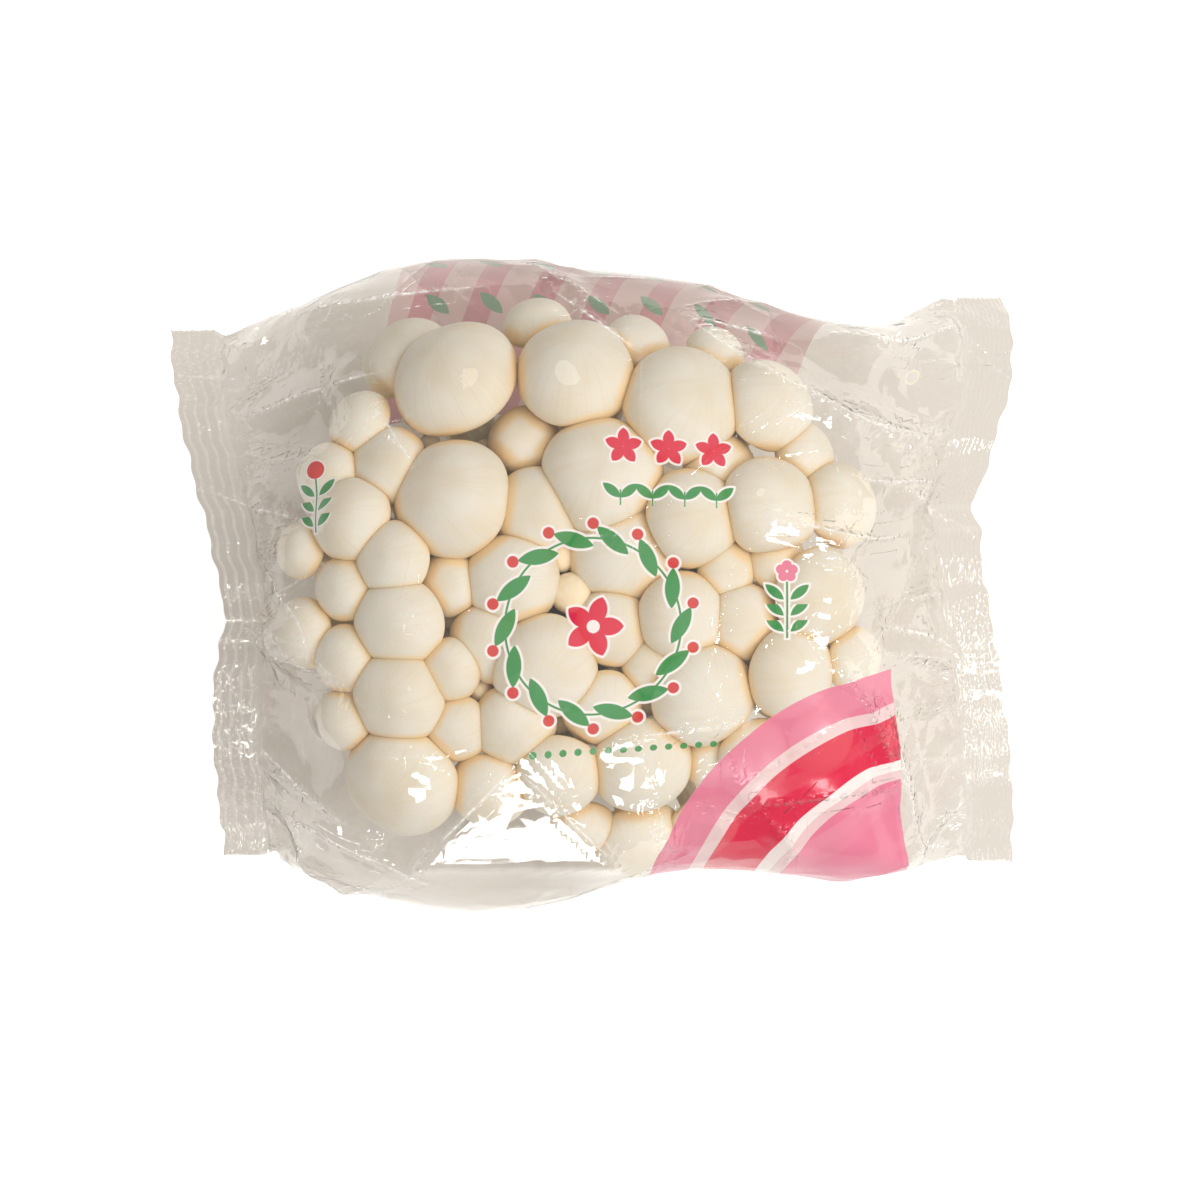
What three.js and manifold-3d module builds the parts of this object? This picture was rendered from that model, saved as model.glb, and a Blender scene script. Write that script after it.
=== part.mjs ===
// A bunch of white beech (shimeji) mushrooms lying in a clear film flow wrap.
// Millimetres, +Z up, +X along the pack from seal to seal. The origin is on the resting
// surface, under the middle of the pack.
import * as THREE from "three";
import { mergeVertices } from "three/addons/utils/BufferGeometryUtils.js";
import Module from "manifold-3d";

const wasm = await Module();
wasm.setup();

// ---------------------------------------------------------------- driving dimensions

// Film wrap
const FILM_WALL = 0.4; // wall of the modelled film
const PACK_TOP = 54; // film over the middle of the bunch
const WAIST_LEVEL = 20; // level of the widest line round the pack
const BELLY_DROP = 26; // how far the lower half would hang below the waist if nothing stopped it
const SECTION_POWER = 2.5; // 2 is an ellipse, more is squarer
const CROWN_HALF_LENGTH = 76; // where the crown of the pack would have come down to the seals
const BODY_HALF_LENGTH = 59; // the full sections end here and the shoulders begin
const SHOULDER_POWER = 1.3; // how late the shoulders flatten towards the seals
const SEAL_WIDTH = 9.5;
const SEAL_THICKNESS = 1.2;
const SEAL_MIDDLE_LEVEL = 28; // the end seals arch up between their corners
const SEAL_CORNER_LEVEL = 7;
const VENT = { x: 64, y: 42, diameter: 3.6 };

// Bunch
const BASE = { x: -3, y: 0, length: 64, width: 56, bottom: 0.8, rim: 4, crown: 15 };
const FOOT_SPREAD = 0.4; // stem feet stand on the base as the caps do, drawn in by this factor
const FOOT_EDGE = 0.82; // how far out on the base a foot may stand, as a share of its half size
const FOOT_TRIM = 3; // how far past its root a stem may be cut to lie on the base
const STEM_RADIUS = { thin: 1.5, thick: 3.1, perCap: 0.3 };
const SWELL = 1.13; // caps swell by this much, until they press flat against their neighbours
const CAP_CROWN = 0.9; // height of a cap above its rim, as a share of its radius
const UNDERSIDE = 0.42; // depth of a cap below its rim, as a share of its radius
const JOINT_DEPTH = 0.26; // where the stem meets the gills, below the rim, as a share of the radius
// Cap profile from near its top to the gills: share of the radius out, share of it up
const CAP_PROFILE = [[0.42, 0.83], [0.78, 0.57], [0.98, 0.18], [0.96, -0.16], [0.82, -0.34]];
const GAP = 0.3; // clear distance kept between two mushrooms
const FILM_CLEARANCE = 0.6; // clear distance between the caps and the outside of the film

// Plan of each mushroom: middle of its cap (x, y), radius of its cap, and how far the top of
// the cap lies below the film. The front caps touch the film, the others sit between them.
const MUSHROOMS = [
  [-36.2, 44.6, 8.6, 9.0],
  [-26.2, 39.4, 11.8, 0.3],
  [-3.0, 40.4, 11.2, 0.3],
  [-10.6, 51.5, 6.2, 9.0],
  [8.8, 47.5, 6.2, 8.0],
  [17.8, 34.0, 12.0, 0.6],
  [34.2, 34.6, 9.0, 1.5],
  [24.8, 23.2, 7.4, 7.0],
  [2.0, 21.0, 11.2, 1.0],
  [19.8, 12.6, 9.4, 1.5],
  [7.0, 6.0, 10.5, 5.0],
  [34.4, 14.6, 9.8, 1.0],
  [48.2, 15.6, 8.0, 5.0],
  [41.6, 25.6, 6.2, 7.0],
  [-10.6, 14.2, 8.2, 4.5],
  [-26.8, 16.0, 11.4, 0.3],
  [-39.8, 22.8, 7.8, 5.0],
  [-51.6, 21.2, 6.4, 5.0],
  [-46.8, 12.4, 8.0, 1.5],
  [-45.4, 31.6, 6.2, 6.0],
  [-38.6, 4.6, 7.2, 1.0],
  [-27.8, 0.0, 6.0, 6.0],
  [-15.6, 0.6, 8.8, 3.0],
  [-48.2, -0.8, 6.0, 4.0],
  [-57.0, 6.8, 5.2, 5.5],
  [-56.2, -9.4, 6.4, 5.5],
  [-37.4, -7.8, 8.8, 0.6],
  [-48.0, -14.8, 6.2, 3.5],
  [-37.4, -22.0, 9.2, 0.6],
  [-48.6, -26.8, 5.6, 4.5],
  [-36.6, -37.6, 11.0, 0.6],
  [-27.6, -17.0, 5.8, 3.5],
  [-26.4, -28.2, 6.4, 5.0],
  [-20.0, -11.6, 7.6, 5.0],
  [-9.4, -16.2, 9.8, 1.0],
  [-15.4, -27.8, 7.8, 4.0],
  [-20.0, -40.0, 7.4, 4.5],
  [-6.4, -37.2, 8.0, 2.0],
  [-1.6, -47.4, 5.8, 6.0],
  [9.8, -35.0, 9.4, 1.5],
  [8.8, -49.2, 8.6, 3.0],
  [22.0, -46.8, 6.8, 4.5],
  [2.2, -24.4, 7.2, 5.0],
  [21.8, -21.6, 9.8, 0.6],
  [38.8, -17.2, 8.6, 1.0],
  [29.6, -7.6, 7.4, 5.0],
  [17.6, -6.6, 8.4, 2.0],
  [4.4, -8.6, 7.2, 5.0],
  [26.4, 2.8, 6.0, 6.0],
  [44.2, -2.6, 9.2, 1.0],
  [51.4, -14.8, 5.8, 4.5],
  [31.6, -34.0, 7.6, 3.0],
  [44.8, -30.2, 6.6, 4.0],
  [24.6, 46.0, 5.4, 8.0],
  [-13.2, 28.4, 6.6, 9.0],
  [24.4, -34.2, 5.8, 7.0],
  [36.2, 4.8, 5.8, 7.0],
  [12.4, -15.6, 6.0, 7.0],
];

// Plan of the pack, as (x, y) knots along its two long sides and (y, x) along its two ends
const FAR_SIDE = [[-86, 50], [-71, 51], [-58, 56], [-40, 62], [-24, 64.35], [0, 63.7], [20, 61.8],
  [38, 56], [54, 53], [70, 54.6], [86, 57]];
const NEAR_SIDE = [[-86, -53], [-72, -54.6], [-58, -57], [-40, -62], [-15, -64.4], [2, -60.6],
  [16, -57], [34, -57.2], [52, -59], [68, -56], [86, -54.4]];
const LEFT_END = [[-55, -74.4], [-34, -75.8], [-20, -75.6], [-9, -74], [5, -74.6], [17, -78.2],
  [33, -82.2], [52, -85.4]];
const RIGHT_END = [[-56, 85.4], [-37, 84.2], [-14, 80.8], [8, 77.2], [21, 80], [32, 83.8],
  [42, 85.4], [58, 82.6]];

// Resolution
const RING_POINTS = 36; // points round a section of the film
const BODY_STATIONS = [-1, -0.86, -0.71, -0.55, -0.37, -0.19, 0, 0.19, 0.37, 0.55, 0.71, 0.86, 1];
const SHOULDER_SHARES = [0.25, 0.5, 0.75];
const CAVITY_END_SHARE = 0.95; // the hollow stops here on the way to the seal
const CAP_SIDES = 10; // points round a mushroom
const BASE_SIDES = 20;
const BASE_TOP_RINGS = [0.35, 0.65, 0.86, 0.97, 1]; // shares of the base's half size
const FOOT_STEP = 0.05; // fineness with which a foot is fitted to the base
const FIT_SHRINK = 0.98; // fineness with which a cap is fitted under the film
const SPREAD_ROUNDS = 80; // rounds of moving the feet apart
const STEM_SAMPLES = 24; // points along a stem at which its neighbours are measured

// ---------------------------------------------------------------- helpers

const WELD = 1e-4; // vertices closer than this are one
const X = new THREE.Vector3(1, 0, 0);

/** A smooth function through [position, value] knots. */
function throughKnots(knots) {
  const positions = knots.map((knot) => knot[0]);
  const values = knots.map((knot) => knot[1]);
  const spline = new THREE.CubicInterpolant(positions, values, 1);
  return (at) => spline.evaluate(THREE.MathUtils.clamp(at, positions[0], positions.at(-1)))[0];
}

/** Rounded superellipse coordinate: |s|^(2/power) with the sign of s. */
const squarish = (s, power) => Math.sign(s) * Math.abs(s) ** (2 / power);

/** A closed body through rings of equal length, with a point or a folded-flat ring at each end. */
function bodyThroughRings(rings, firstPole, lastPole) {
  const points = rings.flat();
  const sides = rings[0].length;
  const faces = []; // three point numbers to a face
  for (let row = 0; row + 1 < rings.length; row += 1) {
    for (let side = 0; side < sides; side += 1) {
      const a = row * sides + side;
      const b = row * sides + ((side + 1) % sides);
      faces.push(a, b, b + sides, a, b + sides, a + sides);
    }
  }
  closeEnd(points, faces, sides, 0, firstPole, false);
  closeEnd(points, faces, sides, (rings.length - 1) * sides, lastPole, true);
  const geometry = new THREE.BufferGeometry();
  const numbers = points.flatMap((point) => point.toArray());
  geometry.setAttribute("position", new THREE.Float32BufferAttribute(numbers, 3));
  geometry.setIndex(faces);
  return geometry;
}

/** Closes a ring by a fan to a pole, or, with no pole, by a strip from its top to its bottom. */
function closeEnd(points, faces, sides, start, pole, isLast) {
  const addFace = (a, b, c) => (isLast ? faces.push(a, b, c) : faces.push(a, c, b));
  if (pole) {
    points.push(pole);
    for (let side = 0; side < sides; side += 1) {
      addFace(start + side, start + ((side + 1) % sides), points.length - 1);
    }
    return;
  }
  for (let side = 0; side < sides / 2; side += 1) {
    const across = start + ((sides - side) % sides);
    const nextAcross = start + sides - side - 1;
    if (side > 0) addFace(start + side, start + side + 1, across);
    if (side + 1 < sides / 2) addFace(start + side + 1, nextAcross, across);
  }
}

/** A solid for cutting, from a closed geometry. */
function toSolid(geometry) {
  const bare = geometry.clone();
  bare.deleteAttribute("normal");
  bare.deleteAttribute("uv");
  const welded = mergeVertices(bare, WELD);
  const mesh = new wasm.Mesh({
    numProp: 3,
    vertProperties: new Float32Array(welded.attributes.position.array),
    triVerts: new Uint32Array(welded.index.array),
  });
  return new wasm.Manifold(mesh);
}

/** The geometry of a cut solid. */
function fromSolid(solid) {
  const { vertProperties, triVerts } = solid.getMesh();
  const geometry = new THREE.BufferGeometry();
  geometry.setAttribute("position", new THREE.BufferAttribute(vertProperties, 3));
  geometry.setIndex(new THREE.BufferAttribute(triVerts, 1));
  return geometry;
}

// ---------------------------------------------------------------- shape of the pack

const farSide = throughKnots(FAR_SIDE);
const nearSide = throughKnots(NEAR_SIDE);
const leftEnd = throughKnots(LEFT_END);
const rightEnd = throughKnots(RIGHT_END);

/** The section of the pack at x, drawn in by inset: middle, half width, top and bottom reach. */
function packSection(x, inset) {
  const along = Math.min(Math.abs(x) / CROWN_HALF_LENGTH, 1) ** SECTION_POWER;
  const crown = SEAL_MIDDLE_LEVEL + (PACK_TOP - SEAL_MIDDLE_LEVEL) * (1 - along) ** (1 / SECTION_POWER);
  return {
    middle: (farSide(x) + nearSide(x)) / 2,
    halfWidth: (farSide(x) - nearSide(x)) / 2 - inset,
    rise: crown - WAIST_LEVEL - inset,
    drop: BELLY_DROP - inset,
    floor: inset,
  };
}

/** Whether a point lies inside the pack's outside drawn in by inset. */
function isInsidePack(point, inset) {
  const section = packSection(point.x, inset);
  const across = Math.abs(point.y - section.middle) / section.halfWidth;
  const up = point.z - WAIST_LEVEL;
  const height = Math.abs(up) / (up > 0 ? section.rise : section.drop);
  const isInSection = across ** SECTION_POWER + height ** SECTION_POWER < 1;
  return isInSection && point.z > section.floor && Math.abs(point.x) < BODY_HALF_LENGTH - inset;
}

/** Height of the film over a point of the plan. */
function filmHeight(x, y) {
  const section = packSection(x, 0);
  const across = Math.min(Math.abs(y - section.middle) / section.halfWidth, 1) ** SECTION_POWER;
  return WAIST_LEVEL + section.rise * (1 - across) ** (1 / SECTION_POWER);
}

/** Outward direction of the film over a point of the plan. */
function filmNormal(x, y) {
  const step = 0.5;
  const slopeX = (filmHeight(x + step, y) - filmHeight(x - step, y)) / (2 * step);
  const slopeY = (filmHeight(x, y + step) - filmHeight(x, y - step)) / (2 * step);
  return new THREE.Vector3(-slopeX, -slopeY, 1).normalize();
}

// ---------------------------------------------------------------- film wrap

/**
 * One ring of film. shoulder goes from 0, a full section at x, to 1, the inner edge of the end
 * seal; sealShare goes from 0, the inner edge of the seal, to 1, its outer edge.
 */
function filmRing(x, shoulder, sealShare, inset) {
  const section = packSection(x, inset);
  const sealHalf = (SEAL_THICKNESS / 2) * (1 - inset / FILM_WALL);
  const end = x < 0 ? leftEnd : rightEnd;
  const inward = -Math.sign(x) * SEAL_WIDTH * (1 - sealShare);
  const flatness = shoulder ** SHOULDER_POWER;
  return Array.from({ length: RING_POINTS }, (_, index) => {
    const turn = (index / RING_POINTS) * 2 * Math.PI;
    const across = squarish(Math.cos(turn), SECTION_POWER);
    const up = squarish(Math.sin(turn), SECTION_POWER);
    const y = section.middle + section.halfWidth * across;
    const fullLevel = Math.max(section.floor, WAIST_LEVEL + up * (up > 0 ? section.rise : section.drop));
    const arch = SEAL_CORNER_LEVEL + (SEAL_MIDDLE_LEVEL - SEAL_CORNER_LEVEL) * (1 - across ** 2);
    const sealLevel = arch + sealHalf * Math.sign(Math.round(Math.sin(turn) * 1e6));
    return new THREE.Vector3(
      x + (end(y) + inward - x) * shoulder,
      y,
      fullLevel + (sealLevel - fullLevel) * flatness,
    );
  });
}

/** The whole film as a closed shape drawn in by inset; the cavity stops short of the seals. */
function filmShell(inset, isCavity) {
  const ringPast = (sign, shoulder, sealShare) => (
    filmRing(sign * BODY_HALF_LENGTH, shoulder, sealShare, inset));
  const shoulder = (sign) => SHOULDER_SHARES.map((share) => ringPast(sign, share, 0));
  const ending = (sign) => (isCavity
    ? [ringPast(sign, CAVITY_END_SHARE, 0)]
    : [0, 1].map((sealShare) => ringPast(sign, 1, sealShare)));
  return bodyThroughRings([
    ...ending(-1).reverse(),
    ...shoulder(-1).reverse(),
    ...BODY_STATIONS.map((share) => filmRing(share * BODY_HALF_LENGTH, 0, 0, inset)),
    ...shoulder(1),
    ...ending(1),
  ]);
}

/** The thin-walled closed wrap, with its round vent. */
function filmWrap() {
  const outside = toSolid(filmShell(0, false));
  const cavity = toSolid(filmShell(FILM_WALL, true));
  const vent = new THREE.CylinderGeometry(VENT.diameter / 2, VENT.diameter / 2, PACK_TOP, 16);
  vent.rotateX(Math.PI / 2);
  vent.translate(VENT.x, VENT.y, WAIST_LEVEL + PACK_TOP / 2);
  return fromSolid(outside.subtract(cavity).subtract(toSolid(vent)));
}

// ---------------------------------------------------------------- bunch

/** Height of the top of the mycelium base over a point of the plan. */
function baseHeight(x, y) {
  const out = ((x - BASE.x) / (BASE.length / 2)) ** 2 + ((y - BASE.y) / (BASE.width / 2)) ** 2;
  return BASE.rim + (BASE.crown - BASE.rim) * Math.sqrt(Math.max(0, 1 - out));
}

/** Moves the feet apart until no two stems stand closer than their radii allow. */
function spreadFeet(stems) {
  for (let round = 0; round < SPREAD_ROUNDS; round += 1) {
    for (const one of stems) {
      for (const other of stems) {
        if (one === other) continue;
        const apart = new THREE.Vector2().subVectors(one.foot, other.foot);
        const lacking = one.stemRadius + other.stemRadius + 2 * GAP - apart.length();
        if (lacking > 0) one.foot.addScaledVector(apart.normalize(), lacking / 2);
      }
      const fromMiddle = new THREE.Vector2(one.foot.x - BASE.x, one.foot.y - BASE.y);
      const out = Math.hypot(fromMiddle.x / (BASE.length / 2), fromMiddle.y / (BASE.width / 2));
      if (out > FOOT_EDGE) {
        fromMiddle.multiplyScalar(FOOT_EDGE / out);
        one.foot.set(BASE.x + fromMiddle.x, BASE.y + fromMiddle.y);
      }
    }
  }
}

/** Cap middle, foot, axis and radii of every mushroom. */
function growMushrooms() {
  const grown = MUSHROOMS.map(([x, y, freeRadius, below]) => {
    const radius = freeRadius * SWELL;
    const normal = filmNormal(x, y);
    const depth = (CAP_CROWN * radius + FILM_CLEARANCE + below) / normal.z;
    return {
      radius,
      cap: new THREE.Vector3(x, y, Math.max(filmHeight(x, y) - depth, WAIST_LEVEL)),
      foot: new THREE.Vector2(BASE.x + (x - BASE.x) * FOOT_SPREAD, BASE.y + (y - BASE.y) * FOOT_SPREAD),
      stemRadius: THREE.MathUtils.clamp(radius * STEM_RADIUS.perCap, STEM_RADIUS.thin, STEM_RADIUS.thick),
    };
  });
  spreadFeet(grown);
  for (const one of grown) {
    one.root = new THREE.Vector3(one.foot.x, one.foot.y, baseHeight(one.foot.x, one.foot.y) + GAP);
    one.axis = one.cap.clone().sub(one.root).normalize();
    one.stem = new THREE.Line3(one.root, one.cap);
  }
  return grown;
}

/** The shortest distance between two straight stems. */
function stemDistance(one, other) {
  const onOne = new THREE.Vector3();
  const onOther = new THREE.Vector3();
  let shortest = Infinity;
  for (let index = 0; index <= STEM_SAMPLES; index += 1) {
    one.stem.at(index / STEM_SAMPLES, onOne);
    other.stem.closestPointToPoint(onOne, true, onOther);
    shortest = Math.min(shortest, onOne.distanceTo(onOther));
  }
  return shortest;
}

/** Thins the stems that would otherwise touch. */
function thinStems(mushrooms) {
  for (const one of mushrooms) {
    for (const other of mushrooms) {
      if (one === other) continue;
      const room = stemDistance(one, other) - GAP;
      const wanted = one.stemRadius + other.stemRadius;
      if (wanted > room) {
        const share = room / wanted;
        one.stemRadius *= share;
        other.stemRadius *= share;
      }
    }
  }
}

/** How far the outermost point of an undisturbed cap lies from its middle, along a direction. */
function capReach(mushroom, direction) {
  const up = direction.dot(mushroom.axis);
  const out = Math.sqrt(Math.max(0, 1 - up * up));
  const crown = up > 0 ? CAP_CROWN : UNDERSIDE;
  return mushroom.radius * Math.hypot(out, up * crown);
}

/** The flat contacts that neighbours press into a cap: direction and distance from its middle. */
function contactsOf(mushroom, mushrooms) {
  const contacts = [];
  for (const other of mushrooms) {
    if (other === mushroom) continue;
    const toCap = other.cap.clone().sub(mushroom.cap);
    const distance = toCap.length();
    toCap.divideScalar(distance);
    const ownReach = capReach(mushroom, toCap);
    const otherReach = capReach(other, toCap.clone().negate());
    if (ownReach + otherReach + GAP > distance) {
      const plane = (distance + (ownReach ** 2 - otherReach ** 2) / distance) / 2;
      contacts.push({ direction: toCap, distance: plane - GAP / 2 });
    }
    const nearest = other.stem.closestPointToPoint(mushroom.cap, true, new THREE.Vector3());
    const toStem = nearest.sub(mushroom.cap);
    const stemGap = toStem.length() - other.stemRadius - GAP;
    if (stemGap < mushroom.radius) contacts.push({ direction: toStem.normalize(), distance: stemGap });
  }
  return contacts;
}

/** One mushroom: its pressed cap, its gills and its straight stem down to the base. */
function mushroomBody(mushroom, mushrooms) {
  const contacts = contactsOf(mushroom, mushrooms);
  const sideways = new THREE.Vector3().crossVectors(mushroom.axis, X).normalize();
  const forward = new THREE.Vector3().crossVectors(sideways, mushroom.axis).normalize();
  const radial = (turn) => new THREE.Vector3()
    .addScaledVector(forward, Math.cos(turn))
    .addScaledVector(sideways, -Math.sin(turn));
  const pressed = (offset) => {
    let reach = offset.length();
    const direction = offset.clone().divideScalar(reach);
    for (const contact of contacts) {
      const facing = direction.dot(contact.direction);
      if (facing > 0) reach = Math.min(reach, contact.distance / facing);
    }
    const at = (distance) => mushroom.cap.clone().addScaledVector(direction, distance);
    while (!isInsidePack(at(reach), FILM_WALL + FILM_CLEARANCE)) reach *= FIT_SHRINK;
    return at(reach);
  };
  const turns = Array.from({ length: CAP_SIDES }, (_, side) => (side / CAP_SIDES) * 2 * Math.PI);
  const capRings = CAP_PROFILE.map(([out, up]) => turns.map((turn) => pressed(
    radial(turn).multiplyScalar(out * mushroom.radius).addScaledVector(mushroom.axis, up * mushroom.radius),
  )));

  const joint = mushroom.cap.clone().addScaledVector(mushroom.axis, -JOINT_DEPTH * mushroom.radius);
  const jointRing = turns.map((turn) => joint.clone().addScaledVector(radial(turn), mushroom.stemRadius));
  const standOnBase = (start) => {
    const along = (distance) => start.clone().addScaledVector(mushroom.axis, distance);
    const isClear = (point) => point.z > baseHeight(point.x, point.y) + GAP;
    let lift = -FOOT_TRIM;
    while (!isClear(along(lift))) lift += FOOT_STEP;
    return along(lift);
  };
  const footRing = turns.map((turn) => standOnBase(
    mushroom.root.clone().addScaledVector(radial(turn), mushroom.stemRadius),
  ));
  const top = pressed(mushroom.axis.clone().multiplyScalar(CAP_CROWN * mushroom.radius));
  return bodyThroughRings([...capRings, jointRing, footRing], top, standOnBase(mushroom.root));
}

/** The round cut butt of mycelium, domed on top and flat below. */
function baseBody() {
  const ringAt = (share, level) => Array.from({ length: BASE_SIDES }, (_, side) => {
    const turn = -(side / BASE_SIDES) * 2 * Math.PI;
    const x = BASE.x + Math.cos(turn) * share * (BASE.length / 2);
    const y = BASE.y + Math.sin(turn) * share * (BASE.width / 2);
    return new THREE.Vector3(x, y, level ?? baseHeight(x, y));
  });
  const topRings = BASE_TOP_RINGS.map((share) => ringAt(share));
  const bottomRings = [ringAt(0.98, BASE.rim * 0.45), ringAt(0.86, BASE.bottom)];
  const top = new THREE.Vector3(BASE.x, BASE.y, BASE.crown);
  const bottom = new THREE.Vector3(BASE.x, BASE.y, BASE.bottom);
  return bodyThroughRings([...topRings, ...bottomRings], top, bottom);
}

// ---------------------------------------------------------------- assembly

const flesh = new THREE.MeshStandardMaterial({ color: 0xf0e8d6, roughness: 0.75, metalness: 0 });
const mycelium = new THREE.MeshStandardMaterial({ color: 0xe6dac2, roughness: 0.9, metalness: 0 });
const film = new THREE.MeshStandardMaterial({
  color: 0xeeeae4, roughness: 0.12, metalness: 0, transparent: true, opacity: 0.3,
});

const group = new THREE.Group();

/** Adds one named sub-part to the assembly. */
function addPiece(name, geometry, material) {
  const mesh = new THREE.Mesh(geometry, material);
  mesh.name = name;
  group.add(mesh);
}

const mushrooms = growMushrooms();
thinStems(mushrooms);
mushrooms.forEach((mushroom, index) => {
  const name = `mushroom_${String(index + 1).padStart(2, "0")}`;
  addPiece(name, mushroomBody(mushroom, mushrooms), flesh.clone());
});
addPiece("mycelium_base", baseBody(), mycelium);
addPiece("film_wrap", filmWrap(), film);

export default group;
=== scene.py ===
# %% [markdown]
# # A bunch of white beech mushrooms in its clear film wrap
# The pack lies on its back and is looked at from above. Three kinds of piece are made here:
# the mushrooms, the block of mycelium they grow from, and the thin film wrapped round them.
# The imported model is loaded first, because every size and place is read from it.

# %% Load the frame
import math
import bpy
import numpy as np
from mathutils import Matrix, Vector


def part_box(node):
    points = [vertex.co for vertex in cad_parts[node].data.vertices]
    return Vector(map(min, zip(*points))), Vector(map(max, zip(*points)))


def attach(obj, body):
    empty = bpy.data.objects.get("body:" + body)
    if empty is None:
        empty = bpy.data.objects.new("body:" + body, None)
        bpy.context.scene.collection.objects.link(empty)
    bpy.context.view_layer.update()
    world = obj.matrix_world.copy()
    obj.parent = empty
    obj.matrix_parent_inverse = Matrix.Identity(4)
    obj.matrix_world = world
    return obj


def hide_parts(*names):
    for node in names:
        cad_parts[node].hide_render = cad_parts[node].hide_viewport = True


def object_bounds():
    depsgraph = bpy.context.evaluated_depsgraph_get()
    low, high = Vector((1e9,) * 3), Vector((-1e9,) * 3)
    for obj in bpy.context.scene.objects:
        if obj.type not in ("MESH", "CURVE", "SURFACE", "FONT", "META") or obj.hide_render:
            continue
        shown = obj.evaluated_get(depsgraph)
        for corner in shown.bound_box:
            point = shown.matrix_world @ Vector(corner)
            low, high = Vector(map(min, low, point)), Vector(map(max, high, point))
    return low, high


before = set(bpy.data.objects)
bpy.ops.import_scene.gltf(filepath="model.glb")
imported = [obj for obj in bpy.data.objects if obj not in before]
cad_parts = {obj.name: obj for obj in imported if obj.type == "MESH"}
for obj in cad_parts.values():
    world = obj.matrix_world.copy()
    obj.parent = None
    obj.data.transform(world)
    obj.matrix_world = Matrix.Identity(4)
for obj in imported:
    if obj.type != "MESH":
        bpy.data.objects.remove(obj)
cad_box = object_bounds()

MM = 0.001
mushroom_names = sorted(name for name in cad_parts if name.startswith("mushroom_"))
print("mushrooms:", len(mushroom_names), "box:", [round(v / MM, 1) for v in (*cad_box[0], *cad_box[1])])

# %% [markdown]
# ## Camera, floor and lights
# A pack on a table is seen from straight above, through a long lens, so that the sides of the
# pack hardly show. The floor is a plain white sheet. It is lit like everything else, and gives
# the camera a little light of its own, so that it reads as white paper and still takes the
# shadow of the pack.

# %% Camera
FRAME_WIDTH = 0.240
LENS = 200.0
SENSOR = 36.0
VIEW_TILT = math.radians(2.0)
camera_data = bpy.data.cameras.new("camera")
camera_data.lens = LENS
camera_data.sensor_width = SENSOR
camera = bpy.data.objects.new("camera", camera_data)
bpy.context.scene.collection.objects.link(camera)
bpy.context.scene.camera = camera
look_at = Vector((0.0018, -0.0028, 0.027))
distance = FRAME_WIDTH * LENS / SENSOR
toward_camera = Vector((0, -math.sin(VIEW_TILT), math.cos(VIEW_TILT)))
camera.location = look_at + toward_camera * distance
camera.rotation_euler = (-toward_camera).to_track_quat("-Z", "Y").to_euler()
bpy.context.scene.view_settings.view_transform = "Standard"
print("camera height", round(camera.location.z, 3))

# %% [markdown]
# Light that has gone from cap to cap three times is too weak to matter, and a mirror image of a
# mirror image in the film is too small to see. Fewer bounces keep the picture quick.

# %% Bounces of light
light_paths = bpy.context.scene.cycles
light_paths.diffuse_bounces = 3
light_paths.glossy_bounces = 1
light_paths.caustics_reflective = False
light_paths.max_bounces = 4
print("bounces:", light_paths.diffuse_bounces, "matt,", light_paths.glossy_bounces, "glossy")

# %% Node helper
def linear(colour):
    """sRGB hex text to the linear colour that shaders take, one channel at a time."""
    channels = [int(colour[k:k + 2], 16) / 255 for k in (1, 3, 5)]
    return (*[c / 12.92 if c <= 0.04045 else ((c + 0.055) / 1.055) ** 2.4 for c in channels], 1.0)


def add_node(tree, kind, settings=None, inputs=None):
    """Adds one node, sets its properties, then sets or links its inputs by name or number."""
    node = tree.nodes.new(kind)
    for name, value in (settings or {}).items():
        setattr(node, name, value)
    for name, value in (inputs or {}).items():
        if isinstance(value, bpy.types.NodeSocket):
            tree.links.new(value, node.inputs[name])
        else:
            node.inputs[name].default_value = value
    return node


def new_material(name):
    """An empty node material, with its tree and the output node."""
    material = bpy.data.materials.new(name)
    material.use_nodes = True
    material.node_tree.nodes.clear()
    return material, material.node_tree, material.node_tree.nodes.new("ShaderNodeOutputMaterial")


# %% Paper floor
FLOOR_SIZE = 3.0
GLOW_BARE, GLOW_THROUGH_FILM = 0.55, 0.04


def paper_material():
    """White paper. Seen directly or mirrored it glows a little, and less so through the film."""
    material, tree, output = new_material("white paper floor")
    rays = add_node(tree, "ShaderNodeLightPath").outputs
    seen = add_node(tree, "ShaderNodeMath", {"operation": "MAXIMUM"}, {
        0: rays["Is Camera Ray"], 1: rays["Is Glossy Ray"]})
    seen = add_node(tree, "ShaderNodeMath", {"operation": "MAXIMUM"}, {
        0: seen.outputs[0], 1: rays["Is Transmission Ray"]})
    bare = add_node(tree, "ShaderNodeMath", {"operation": "LESS_THAN"}, {
        0: rays["Transparent Depth"], 1: 0.5})
    share = add_node(tree, "ShaderNodeMapRange", inputs={
        0: bare.outputs[0], 3: GLOW_THROUGH_FILM, 4: GLOW_BARE})
    lift = add_node(tree, "ShaderNodeMath", {"operation": "MULTIPLY"}, {
        0: seen.outputs[0], 1: share.outputs[0]})
    glow = add_node(tree, "ShaderNodeEmission", inputs={
        "Color": linear("#ffffff"), "Strength": lift.outputs[0]})
    matt = add_node(tree, "ShaderNodeBsdfDiffuse", inputs={"Color": linear("#e9e7e3")})
    both = add_node(tree, "ShaderNodeAddShader", inputs={0: glow.outputs[0], 1: matt.outputs[0]})
    tree.links.new(both.outputs[0], output.inputs["Surface"])
    material.cycles.emission_sampling = "NONE"
    return material


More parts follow.
